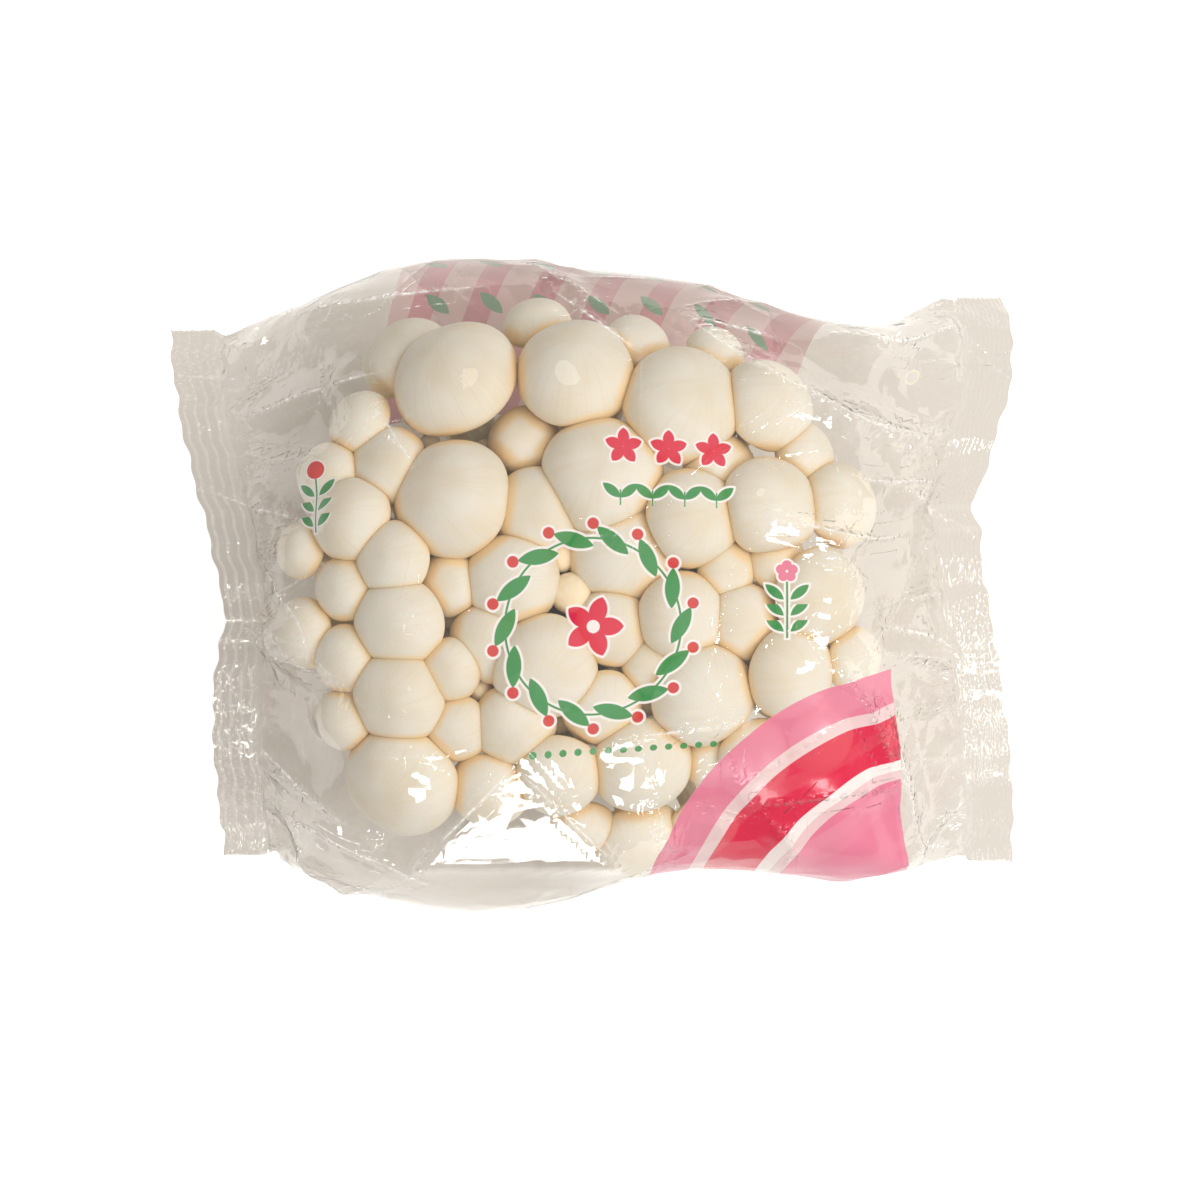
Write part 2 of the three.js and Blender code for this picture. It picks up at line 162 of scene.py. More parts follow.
half = FLOOR_SIZE / 2
floor_corners = [(-half, -half, 0), (half, -half, 0), (half, half, 0), (-half, half, 0)]
floor_mesh = bpy.data.meshes.new("floor")
floor_mesh.from_pydata(floor_corners, [], [(0, 1, 2, 3)])
floor_mesh.materials.append(paper_material())
floor = bpy.data.objects.new("floor", floor_mesh)
bpy.context.scene.collection.objects.link(floor)
print("floor", FLOOR_SIZE, "m square")

# %% Light of the room
ROOM_LIGHT, ROOM_IN_GLOSS = 0.50, 0.40
world = bpy.data.worlds.new("studio")
bpy.context.scene.world = world
world.use_nodes = True
tree = world.node_tree
tree.nodes.clear()
rays = add_node(tree, "ShaderNodeLightPath").outputs
dimmer = add_node(tree, "ShaderNodeMapRange", inputs={
    0: rays["Is Glossy Ray"], 3: ROOM_LIGHT, 4: ROOM_IN_GLOSS})
room = add_node(tree, "ShaderNodeBackground", inputs={
    "Color": linear("#fbf8f3"), "Strength": dimmer.outputs[0]})
white = add_node(tree, "ShaderNodeBackground", inputs={"Color": linear("#ffffff"), "Strength": 1.0})
choice = add_node(tree, "ShaderNodeMixShader", inputs={
    0: rays["Is Camera Ray"], 1: room.outputs[0], 2: white.outputs[0]})
add_node(tree, "ShaderNodeOutputWorld", inputs={"Surface": choice.outputs[0]})
print("room light", ROOM_LIGHT, "and", ROOM_IN_GLOSS, "where the film mirrors it")

# %% [markdown]
# A large soft lamp gives the caps their shading. Gloss does not show it, or it would spread a
# veil over the whole film. Two small lamps do the mirroring: one in front, low enough for the
# flat facets of the film to catch it, and one at the side.

# %% Lamps
LAMP_DISTANCE = 0.9


def area_lamp(name, direction, size, power, colour):
    """A rectangular softbox along a direction from the pack, facing it."""
    lamp_data = bpy.data.lights.new(name, "AREA")
    lamp_data.shape = "RECTANGLE"
    lamp_data.size, lamp_data.size_y = size
    lamp_data.energy = power
    lamp_data.color = linear(colour)[:3]
    lamp = bpy.data.objects.new(name, lamp_data)
    away = Vector(direction).normalized()
    lamp.location = look_at + away * LAMP_DISTANCE
    lamp.rotation_euler = (-away).to_track_quat("-Z", "Y").to_euler()
    bpy.context.scene.collection.objects.link(lamp)
    return lamp


soft_key = area_lamp("soft key", (0.66, 0.32, 0.92), (0.65, 0.65), 3.75, "#fffdf9")
soft_key.visible_glossy = False
area_lamp("low front", (0.0, -0.80, 0.95), (0.30, 0.17), 1.7, "#ffffff")
area_lamp("side", (0.85, -0.2, 1.0), (0.12, 0.24), 1.6, "#ffffff")
print("lamps:", [lamp.name for lamp in bpy.data.lights])

# %% [markdown]
# ## Reading the mushrooms from the frame
# Each packed mushroom is a ten-sided cap on a straight stem. The ring of points where the stem
# stands on the base, and the ring where it meets the gills, give the line of the stem. The
# widest point of the cap gives its radius. From these the smooth mushroom is made again.

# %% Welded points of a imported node
def welded(node):
    """Points (n, 3) and triangles (m, 3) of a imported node, with its loose triangles joined."""
    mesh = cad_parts[node].data
    mesh.calc_loop_triangles()
    points = np.empty(len(mesh.vertices) * 3)
    mesh.vertices.foreach_get("co", points)
    corners = np.empty(len(mesh.loop_triangles) * 3, int)
    mesh.loop_triangles.foreach_get("vertices", corners)
    rounded, place = np.unique(np.round(points.reshape(-1, 3), 6), axis=0, return_inverse=True)
    return rounded, place.reshape(-1)[corners].reshape(-1, 3)


print("points and triangles of a packed mushroom:", [len(part) for part in welded(mushroom_names[0])])

# %% Measures of a mushroom
RIM_SHARE = 0.98      # how far out the ten corners of a packed cap are, as a share of its radius
JOINT_SHARE = 0.26    # how far above the joint the middle of the cap is, as a share of its radius
FOOT_POINTS = 11


def measure_mushroom(node):
    """Foot, joint, axis, cap middle and radii of a packed mushroom.

    The eleven lowest points are the foot. The points joined to them by an edge are the ring
    under the gills. The line through the middles of both is the axis, and the farthest of the
    other points from that line is the rim."""
    points, triangles = welded(node)
    is_foot = np.zeros(len(points), bool)
    is_foot[np.argsort(points[:, 2])[:FOOT_POINTS]] = True
    edges = triangles[:, [0, 1, 1, 2, 2, 0]].reshape(-1, 2)
    crossing = edges[is_foot[edges[:, 0]] & ~is_foot[edges[:, 1]]]
    foot_ring, joint_ring = np.unique(crossing[:, 0]), np.unique(crossing[:, 1])
    foot, joint = points[foot_ring].mean(0), points[joint_ring].mean(0)
    axis = (joint - foot) / np.linalg.norm(joint - foot)
    from_joint = points - joint
    outward = from_joint - np.outer(from_joint @ axis, axis)
    from_axis = np.linalg.norm(outward, axis=1)
    radius = from_axis.max() / RIM_SHARE
    return {"name": node, "foot": foot, "joint": joint, "axis": axis, "radius": radius,
            "stem": from_axis[joint_ring].mean(), "cap": joint + axis * JOINT_SHARE * radius}


mushrooms = [measure_mushroom(name) for name in mushroom_names]
print("cap radii mm:", [round(m["radius"] / MM, 1) for m in mushrooms])

# %% [markdown]
# ## Caps pressed against each other
# Buttons that swell side by side press flat contacts into each other, as soap bubbles do. For
# two caps the contact is a plane between their middles, nearer to the smaller one. A stem that
# passes a cap presses it too. A cap's surface is its free shape, cut short by these planes
# with a rounded edge: the smooth minimum of the distances from the middle of the cap.

# %% Contact planes
CROWN = 0.90
UNDERSIDE = 0.42
CONTACT_GAP = 0.10 * MM
SQUEEZE = 1.8 * MM


def reach(mushroom, direction):
    """How far a free cap reaches along a direction: the support of its half ellipsoid."""
    up = direction @ mushroom["axis"]
    out = math.sqrt(max(0.0, 1 - up * up))
    return mushroom["radius"] * math.hypot(out, up * (CROWN if up > 0 else UNDERSIDE))


def nearest_on_stem(mushroom, point):
    """The point of the stem's line, from foot to cap middle, that is nearest to a point."""
    along = mushroom["cap"] - mushroom["foot"]
    share = np.clip((point - mushroom["foot"]) @ along / (along @ along), 0, 1)
    return mushroom["foot"] + share * along


def contact_planes(mushroom):
    """Outward directions (k, 3) and distances (k,) of the planes that press a cap."""
    directions, distances = [], []
    for other in mushrooms:
        if other is mushroom:
            continue
        between = other["cap"] - mushroom["cap"]
        apart = np.linalg.norm(between)
        between /= apart
        own, theirs = reach(mushroom, between), reach(other, -between)
        if own + theirs + CONTACT_GAP > apart:
            directions.append(between)
            distances.append((apart + (own ** 2 - theirs ** 2) / apart) / 2 + SQUEEZE)
        to_stem = nearest_on_stem(other, mushroom["cap"]) - mushroom["cap"]
        room = np.linalg.norm(to_stem)
        if room - other["stem"] < mushroom["radius"]:
            directions.append(to_stem / room)
            distances.append(room - other["stem"] - CONTACT_GAP)
    return np.array(directions), np.array(distances)


for mushroom in mushrooms:
    mushroom["planes"] = contact_planes(mushroom)
print("contacts on a cap:", sorted(len(m["planes"][1]) for m in mushrooms))

# %% Pressed reach of a cap
CORNER_POWER = 9


def pressed_reach(mushroom, directions, free):
    """Distance from the cap's middle to its surface along many directions.

    Each contact plane allows distance / cos(angle between). The result is a smooth minimum,
    (sum of d^-p)^(-1/p), of the free reach and of what each plane allows. The lower the power
    p is, the rounder are the edges of the contacts."""
    normals, distances = mushroom["planes"]
    if not len(distances):
        return free
    facing = np.maximum(directions @ normals.T, 0.0) / distances
    return (free ** -CORNER_POWER + (facing ** CORNER_POWER).sum(-1)) ** (-1 / CORNER_POWER)


# %% [markdown]
# ## The mushroom surface
# One mushroom is one closed surface over two parameters: the turn round the stem, and the way
# down from the top of the cap, over the rolled rim, along the gills and down the stem. Gills are
# real ridges in the mesh. The cap is never a perfect ball: a few long waves make it uneven.

# %% Mesh from grids of points
def ring_quads(rows, columns):
    """Quads of a grid of points that is closed round its columns, as numbers of points."""
    row, column = np.meshgrid(np.arange(rows - 1), np.arange(columns), indexing="ij")
    a = row * columns + column
    b = row * columns + (column + 1) % columns
    return np.stack([a, a + columns, b + columns, b], -1).reshape(-1, 4)


def closed_grid(points, top, bottom):
    """Vertices (n, 3), quads and triangles of a (rows, columns, 3) grid of points that is closed
    round its columns, and closed at its first and last rows by a fan to a pole."""
    rows, columns = points.shape[:2]
    here = np.arange(columns)
    beside = (here + 1) % columns
    pole, last = rows * columns, (rows - 1) * columns
    fans = [np.stack([np.full(columns, pole), here, beside], -1),
            np.stack([np.full(columns, pole + 1), last + beside, last + here], -1)]
    vertices = np.concatenate([points.reshape(-1, 3), [top], [bottom]])
    return vertices, ring_quads(rows, columns), np.concatenate(fans)


def grid_mesh(name, *grids):
    """One smooth mesh of one or more closed surfaces, each given as (points, top, bottom)."""
    vertices, faces, first = [], [], 0
    for grid in grids:
        points, quads, triangles = closed_grid(*grid)
        vertices.append(points)
        faces += (quads + first).tolist() + (triangles + first).tolist()
        first += len(points)
    mesh = bpy.data.meshes.new(name)
    mesh.from_pydata(np.concatenate(vertices), [], faces)
    mesh.polygons.foreach_set("use_smooth", np.ones(len(mesh.polygons), bool))
    return mesh


def add_piece(name, mesh, material, slot, *nodes):
    """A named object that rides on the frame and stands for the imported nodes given."""
    piece = bpy.data.objects.new(name, mesh)
    bpy.context.scene.collection.objects.link(piece)
    mesh.materials.append(material)
    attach(piece, "root")
    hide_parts(*nodes)
    return piece


# %% Cap, gills and stem
TURNS = 96
CAP_ROWS, RIM_ROWS, GILL_ROWS, STEM_ROWS = 24, 12, 8, 14
GILLS = 32
LIP_ANGLE = math.radians(56)
FOOT_DEPTH = 0.8 * MM       # how deep a stem stands in the base
STEM_BOW = 0.35 * MM
# How enclosed a point is sets the painted shade between the caps; stems get a fixed small share of it.
ENCLOSED_STEPS = (2.5 * MM, 6.0 * MM)       # where the room in front of a cap is felt
STEM_ENCLOSED = 0.35
rng = np.random.default_rng(7)


def smooth_step(x):
    """0 below 0, 1 above 1, and 3x^2 - 2x^3 between."""
    x = np.clip(x, 0, 1)
    return x * x * (3 - 2 * x)


def mushroom_surface(mushroom):
    """Grid (rows, TURNS, 3) of one mushroom, its two poles, and how enclosed each point is, which
    sets the painted shade between the caps.

    The cap's free profile is an ellipse quarter above the rim, (sin a, CROWN cos a), and a
    flatter one below it, (cos b, -UNDERSIDE sin b), up to the lip. From there the gills run in
    to the stem. Waves of low order along the turn make the cap uneven. A point is enclosed where
    a short and a longer step straight out from it come near to another mushroom."""
    axis, cap, radius = mushroom["axis"], mushroom["cap"], mushroom["radius"]
    side = np.cross(axis, (1.0, 0.0, 0.0))
    side /= np.linalg.norm(side)
    front = np.cross(side, axis)
    turn = np.arange(TURNS) / TURNS * 2 * math.pi
    radial = np.cos(turn)[:, None] * front - np.sin(turn)[:, None] * side

    crown_angle = np.linspace(0, math.pi / 2, CAP_ROWS + 1)[1:]
    under_angle = np.linspace(0, LIP_ANGLE, RIM_ROWS + 1)[1:]
    out = np.concatenate([np.sin(crown_angle), np.cos(under_angle)])
    up = np.concatenate([CROWN * np.cos(crown_angle) ** 0.94, -UNDERSIDE * np.sin(under_angle)])

    waves = sum(rng.normal(0, 0.011) * np.cos(k * turn + rng.uniform(0, 6.3)) for k in (1, 2, 3, 4))
    lopsided = 1 + waves[None, :] * (out[:, None] ** 1.5)
    flattening = 1 - rng.uniform(0.0, 0.05) * np.exp(-(out / 0.35) ** 2)[:, None]
    offsets = (out[:, None, None] * radial[None] + up[:, None, None] * axis) * radius
    offsets = offsets * (lopsided * flattening)[..., None]
    free = np.linalg.norm(offsets, axis=-1)
    directions = offsets / free[..., None]
    pressed = pressed_reach(mushroom, directions, free)
    cap_rows = cap + directions * pressed[..., None]

    share = np.linspace(0, 1, GILL_ROWS + 2)[1:-1]
    stem_top = mushroom["joint"] - axis * 0.02 * radius
    joint_ring = stem_top + radial * mushroom["stem"] * 1.18
    lip_ring = cap_rows[-1]
    hollow = np.sin(share * math.pi)[:, None, None] * axis * 0.06 * radius
    ridge = np.cos(GILLS * turn) * np.minimum(0.035 * radius, 0.35 * MM)
    gill_rows = (lip_ring + (joint_ring - lip_ring) * share[:, None, None] + hollow
                 - np.sin(share * math.pi)[:, None, None] ** 0.5 * ridge[None, :, None] * axis)

    down = np.linspace(0, 1, STEM_ROWS)
    bow = rng.uniform(-STEM_BOW, STEM_BOW) * np.sin(down * math.pi)
    stem_foot = mushroom["foot"] - axis * FOOT_DEPTH
    middle = stem_top + (stem_foot - stem_top) * down[:, None] + bow[:, None] * front
    swell = (1 + 0.18 * np.exp(-down / 0.06) + 0.10 * smooth_step((down - 0.55) / 0.45)
             - 0.05 * np.sin(down * math.pi))
    flutes = (1 + 0.025 * np.cos(5 * turn + rng.uniform(0, 6.3))
              + 0.02 * np.cos(9 * turn + rng.uniform(0, 6.3)))
    stem_radius = mushroom["stem"] * swell[:, None] * flutes
    stem_rows = middle[:, None] + radial * stem_radius[..., None]

    crown = np.array([CROWN * radius * flattening[0, 0]])
    top = cap + axis * pressed_reach(mushroom, axis[None], crown)[0]
    grid = np.concatenate([cap_rows, gill_rows, stem_rows])
    enclosed = np.full(grid.shape[:2], STEM_ENCLOSED)
    in_front = [(cap_rows + directions * step).reshape(-1, 3) for step in ENCLOSED_STEPS]
    near, wide = (read_clearance(points)[0].reshape(free.shape) / step
                  for points, step in zip(in_front, ENCLOSED_STEPS))
    enclosed[:len(free)] = 1 - (np.clip(near, 0, 1) + np.clip(wide, 0, 1)) / 2
    return grid, top, middle[-1], enclosed


def growth_attributes(mesh, rows, enclosed):
    """Stores on each vertex where it lies on the mushroom, as (cos turn, sin turn, row share),
    and how closely neighbours stand in front of it, from 0 to 1, which the flesh turns into
    painted shade."""
    turn = np.arange(TURNS) / TURNS * 2 * math.pi
    share = np.arange(rows) / (rows - 1)
    place = np.empty((rows, TURNS, 3))
    place[..., 0], place[..., 1], place[..., 2] = np.cos(turn)[None], np.sin(turn)[None], share[:, None]
    place = np.concatenate([place.reshape(-1, 3), [[0, 0, 0], [0, 0, 1]]])
    layer = mesh.attributes.new("growth", "FLOAT_VECTOR", "POINT")
    layer.data.foreach_set("vector", place.ravel())
    layer = mesh.attributes.new("enclosed", "FLOAT", "POINT")
    layer.data.foreach_set("value", np.concatenate([enclosed.ravel(), [enclosed[0].mean(), 1]]))


# %% [markdown]
# ## Mushroom flesh
# Raw white beech mushroom: creamy, matt and slightly translucent, so light goes a little way in
# and the gaps between the caps glow warm. A darker warm tan is also painted into the colour in the
# gaps and where the rim turns under, as painted shade. The skin has fine streaks that run out
# from the top of the cap, a faintly yellow middle, and a dry felt that only shows as softness.

# %% Flesh material
# way down from the top of the cap, 0 to 1, and the colour there: crown, rim, gills, stem; the
# warmer, darker tone where the rim turns under is painted shade
CAP_TONES_AND_RIM_SHADE = ((0.20, "#ece7dc"), (0.33, "#ebe5d7"), (0.43, "#ebe1cc"), (0.54, "#ecd9b6"), (0.80, "#efe5cf"))
MARBLE_SIZE, FELT_SIZE = 9 * MM, 0.45 * MM
LIGHT_DEPTH = 1.8 * MM      # how deep light goes into the flesh


def flesh_material():
    """Creamy translucent flesh. Its colour comes from where a point lies on the mushroom, with
    painted shade where the rim turns under, and from how enclosed it is, with painted shade in the
    gaps between the caps. It has streaks and clouds, and its felt is a bump."""
    material, tree, output = new_material("raw white beech mushroom")
    place = add_node(tree, "ShaderNodeAttribute", {"attribute_name": "growth"})
    parts = add_node(tree, "ShaderNodeSeparateXYZ", inputs={0: place.outputs["Vector"]})
    spot = add_node(tree, "ShaderNodeTexCoord")
    streaks = add_node(tree, "ShaderNodeTexNoise", {"noise_dimensions": "3D"},
                       {"Vector": add_node(tree, "ShaderNodeMapping", inputs={
                           "Vector": place.outputs["Vector"], "Scale": (13, 13, 3)}).outputs[0],
                        "Scale": 1.0, "Detail": 1.0, "Roughness": 0.55})
    marble = add_node(tree, "ShaderNodeTexNoise", inputs={
        "Vector": spot.outputs["Object"], "Scale": 1 / MARBLE_SIZE, "Detail": 1.0, "Roughness": 0.5})
    felt = add_node(tree, "ShaderNodeTexNoise", inputs={
        "Vector": spot.outputs["Object"], "Scale": 1 / FELT_SIZE, "Detail": 0.0})
    tint_and_shade = add_node(tree, "ShaderNodeValToRGB", inputs={0: parts.outputs["Z"]})
    ramp = tint_and_shade.color_ramp
    ramp.elements[0].color = linear("#ebe6d9")
    ramp.elements[1].color = linear("#e9dfc4")
    for position, colour in CAP_TONES_AND_RIM_SHADE:
        ramp.elements.new(position).color = linear(colour)
    streaked = add_node(tree, "ShaderNodeMix", {"data_type": "RGBA", "blend_type": "MULTIPLY"}, {
        0: add_node(tree, "ShaderNodeMapRange", inputs={
            0: streaks.outputs[0], 1: 0.45, 2: 0.75, 3: 0.0, 4: 0.22}).outputs[0],
        6: tint_and_shade.outputs[0], 7: linear("#f3e9d2")})
    clouded = add_node(tree, "ShaderNodeMix", {"data_type": "RGBA", "blend_type": "MULTIPLY"}, {
        0: add_node(tree, "ShaderNodeMapRange", inputs={
            0: marble.outputs[0], 1: 0.40, 2: 0.72, 3: 0.0, 4: 0.45}).outputs[0],
        6: streaked.outputs[2], 7: linear("#f3e8d2")})
    # Painted shade: where neighbours stand close in front of the flesh, its colour turns a darker warm tan,
    # as if light were blocked and bounced between the caps.
    enclosed = add_node(tree, "ShaderNodeAttribute", {"attribute_name": "enclosed"})
    gap_shade_share = add_node(tree, "ShaderNodeMapRange", {"interpolation_type": "SMOOTHSTEP"}, {
        0: enclosed.outputs["Fac"], 1: 0.25, 2: 1.0, 3: 0.0, 4: 0.9})
    gap_shaded_colour = add_node(tree, "ShaderNodeMix", {"data_type": "RGBA"}, {
        0: gap_shade_share.outputs[0], 6: clouded.outputs[2], 7: linear("#f0d3a4")})
    bump = add_node(tree, "ShaderNodeBump", inputs={
        "Strength": 0.16, "Distance": 0.25 * MM, "Height": felt.outputs[0]})
    flesh = add_node(tree, "ShaderNodeBsdfPrincipled", {"distribution": "GGX"}, {
        "Base Color": gap_shaded_colour.outputs[2], "Roughness": 0.72, "IOR": 1.38, "Specular IOR Level": 0.3,
        "Subsurface Weight": 0.6, "Subsurface Radius": (1.0, 0.72, 0.50), "Subsurface Scale": LIGHT_DEPTH,
        "Normal": bump.outputs[0]})
    tree.links.new(flesh.outputs[0], output.inputs["Surface"])
    return material


# %% [markdown]
# ## Reading the wrap from the frame
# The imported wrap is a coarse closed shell. Its end faces give the line of each end seal, and
# rays shot in from outside give its sections along the body. Between the last section and the
# seal the tube flattens. Put one after another these rings are the tube of film at rest, with
# equal steps of length along it and round it.

# %% Rings of the wrap
from mathutils.bvhtree import BVHTree

SEAL_WIDTH = 9.5 * MM
SEAL_TRIALS = 60
BODY_SHARE = 0.68         # how much of the length is cut into sections
SECTIONS, SECTION_RAYS = 61, 180
WAIST_SHARE = 0.37        # where the rays of a section meet, as a share of the height
RAY_START = 0.2
SHOULDER_STEPS = np.array([0.2, 0.4, 0.6, 0.8])
SHOULDER_POWER = 1.3
wrap_points, wrap_triangles = welded("film_wrap")
half_length = wrap_points[:, 0].max()


def even_steps(line, shares, closed=False):
    """Points at shares (0 to 1) of the length of a polyline (n, 3)."""
    if closed:
        line = np.concatenate([line, line[:1]])
    steps = np.concatenate([[0], np.cumsum(np.linalg.norm(np.diff(line, axis=0), axis=1))])
    return np.stack([np.interp(shares * steps[-1], steps, line[:, k]) for k in range(3)], -1)


def seal_line(sign, shares):
    """Outer edge of an end seal, from its -Y corner to its +Y corner: the middle of the thin
    end face. Its triangles face along X, and of its points with one Y the outermost count."""
    corners = wrap_points[wrap_triangles]
    normals = np.cross(corners[:, 1] - corners[:, 0], corners[:, 2] - corners[:, 0])
    facing = normals[:, 0] * sign > 0.8 * np.linalg.norm(normals, axis=1)
    far = corners[:, :, 0].mean(1) * sign > 0.8 * half_length
    edge = wrap_points[np.unique(wrap_triangles[facing & far])]
    group = np.unique(np.round(edge[:, 1], 5), return_inverse=True)[1].reshape(-1)
    outermost = np.full(group.max() + 1, -1.0)
    np.maximum.at(outermost, group, edge[:, 0] * sign)
    is_outer = edge[:, 0] * sign > outermost[group] - 1 * MM
    edge, group = edge[is_outer], group[is_outer]
    middle = np.stack([np.bincount(group, edge[:, k]) / np.bincount(group) for k in range(3)], -1)
    line = even_steps(middle, np.linspace(0, 1, SEAL_TRIALS))
    for _ in range(2):
        line[1:-1] = (line[:-2] + 2 * line[1:-1] + line[2:]) / 4
    return even_steps(line, shares)


def body_section(tree, x, shares):
    """Ring where the wrap's outside is cut at x, from its top round by +Y, at equal steps."""
    middle = WAIST_SHARE * cad_box[1][2]
    hits = []
    for turn in np.linspace(0, 2 * math.pi, SECTION_RAYS, endpoint=False):
        y, z = math.sin(turn), math.cos(turn)
        start = Vector((x, RAY_START * y, middle + RAY_START * z))
        hits.append(tree.ray_cast(start, Vector((0, -y, -z)))[0])
    return even_steps(np.array(hits), shares, closed=True)


def wrap_rings(around):
    """Grid (rings, around, 3) of the wrap from its -X seal to its +X seal.

    Point 0 of a ring is at its top and a quarter of the points later comes the +Y corner. A seal
    is the same line for the top and the bottom half. In a shoulder a ring goes in a straight
    line from the body to the seal, and its height follows a power of the way."""
    shares = np.arange(around) / around
    across = 0.5 + 0.5 * (1 - np.abs((4 * shares + 1) % 4 - 2))
    tree = BVHTree.FromPolygons(wrap_points.tolist(), wrap_triangles.tolist())
    stations = np.linspace(-1, 1, SECTIONS) * BODY_SHARE * half_length
    body = np.stack([body_section(tree, x, shares) for x in stations])
    ends = []
    for sign in (-1, 1):
        outer = seal_line(sign, across)
        inner = outer - [sign * SEAL_WIDTH, 0, 0]
        last = body[0 if sign < 0 else -1]
        share = SHOULDER_STEPS[:, None, None]
        shoulder = last + (inner - last) * share
        shoulder[..., 2] = (last + (inner - last) * share ** SHOULDER_POWER)[..., 2]
        ends.append(np.concatenate([shoulder, inner[None], outer[None]]))
    return np.concatenate([ends[0][::-1], body, ends[1]])


def even_columns(rings, count):
    """The same tube with count rings, at equal steps of its mean length, and that length."""
    steps = np.linalg.norm(np.diff(rings, axis=0), axis=-1).mean(-1)
    places = np.concatenate([[0], np.cumsum(steps)])
    wanted = np.linspace(0, places[-1], count)
    low = np.clip(np.searchsorted(places, wanted, side="right") - 1, 0, len(rings) - 2)
    share = ((wanted - places[low]) / (places[low + 1] - places[low]))[:, None, None]
    return rings[low] * (1 - share) + rings[low + 1] * share, places[-1]


FILM_STEP = 1.0 * MM
GIRTH_TRIALS = 300
rings = wrap_rings(GIRTH_TRIALS)
waist = rings[len(rings) // 2]
girth = np.linalg.norm(np.diff(waist, axis=0, append=waist[:1]), axis=1).sum()
AROUND = 4 * round(girth / FILM_STEP / 4)
rings = wrap_rings(AROUND)
film_length = even_columns(rings, 2)[1]
ALONG = 2 * round(film_length / FILM_STEP / 2) + 1
tube = even_columns(rings, ALONG)[0]
print("film mm:", round(girth / MM, 1), "round,", round(film_length / MM, 1), "long; grid", tube.shape)

# %% [markdown]
# ## How far from the mushrooms
# The film may not cut into what it wraps. On a grid of 1 mm cells each point is given its
# distance to the nearest mushroom: to the cap's two half ellipsoids, cut by the contact planes,
# or to the stem. Between grid points the distance is read linearly, and its slope is the way out.

# %% Distance grid
CELL = 1.0 * MM
MARGIN = 3.0 * MM
CAP_REACH, STEM_REACH = 8.0 * MM, 6.0 * MM      # how far from a cap and a stem it is worked out
FAR = 20 * MM
grid_low = np.array(cad_box[0]) - MARGIN
grid_shape = tuple(np.ceil((np.array(cad_box[1]) + MARGIN - grid_low) / CELL).astype(int) + 1)
clearance = np.full(grid_shape, FAR, np.float32)


def lower_to(low, high, distance):
    """Lowers the grid, inside a box, to what a distance function of points gives."""
    first = np.maximum(np.floor((low - grid_low) / CELL).astype(int), 0)
    last = np.minimum(np.ceil((high - grid_low) / CELL).astype(int) + 1, grid_shape)
    axes = [grid_low[k] + np.arange(first[k], last[k]) * CELL for k in range(3)]
    region = clearance[first[0]:last[0], first[1]:last[1], first[2]:last[2]]
    np.minimum(region, distance(np.stack(np.meshgrid(*axes, indexing="ij"), -1)), out=region)


def cap_distance(mushroom, points):
    """Distance to a pressed cap: the greater of the ellipsoids' and the planes' distances."""
    from_cap = points - mushroom["cap"]
    up = from_cap @ mushroom["axis"]
    out = np.sqrt(np.maximum((from_cap ** 2).sum(-1) - up ** 2, 0))
    height = np.where(up > 0, CROWN, UNDERSIDE)
    radii = np.hypot(out, up / height) / mushroom["radius"]
    length = np.maximum(np.hypot(out, up), 1e-6)
    free = length * (1 - 1 / np.maximum(radii, 1e-3))
    normals, distances = mushroom["planes"]
    return np.maximum(free, (from_cap @ normals.T - distances).max(-1)) if len(distances) else free


def stem_distance(mushroom, points):
    """Distance to the stem, taken as a round rod from foot to joint."""
    along = mushroom["joint"] - mushroom["foot"]
    share = np.clip((points - mushroom["foot"]) @ along / (along @ along), 0, 1)
    nearest = mushroom["foot"] + share[..., None] * along
    return np.linalg.norm(points - nearest, axis=-1) - 1.15 * mushroom["stem"]


def base_distance(points):
    """Distance to the base, taken as a half ellipsoid that stands on its flat side."""
    dome = (np.linalg.norm((points - base_foot) / base_reach, axis=-1) - 1) * base_reach[2]
    return np.maximum(dome, base_foot[2] - points[..., 2])


for mushroom in mushrooms:
    reach_out = mushroom["radius"] + CAP_REACH
    lower_to(mushroom["cap"] - reach_out, mushroom["cap"] + reach_out,
             lambda points: cap_distance(mushroom, points))
    ends = np.stack([mushroom["foot"], mushroom["joint"]])
    lower_to(ends.min(0) - STEM_REACH, ends.max(0) + STEM_REACH,
             lambda points: stem_distance(mushroom, points))
base_low, base_high = (np.array(corner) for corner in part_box("mycelium_base"))
base_foot = np.array([*(base_low[:2] + base_high[:2]) / 2, base_low[2]])
base_reach = base_high - base_foot
lower_to(base_low - MARGIN, base_high + MARGIN, base_distance)
print("grid", grid_shape, "share inside mushrooms", round(float((clearance < 0).mean()), 3))


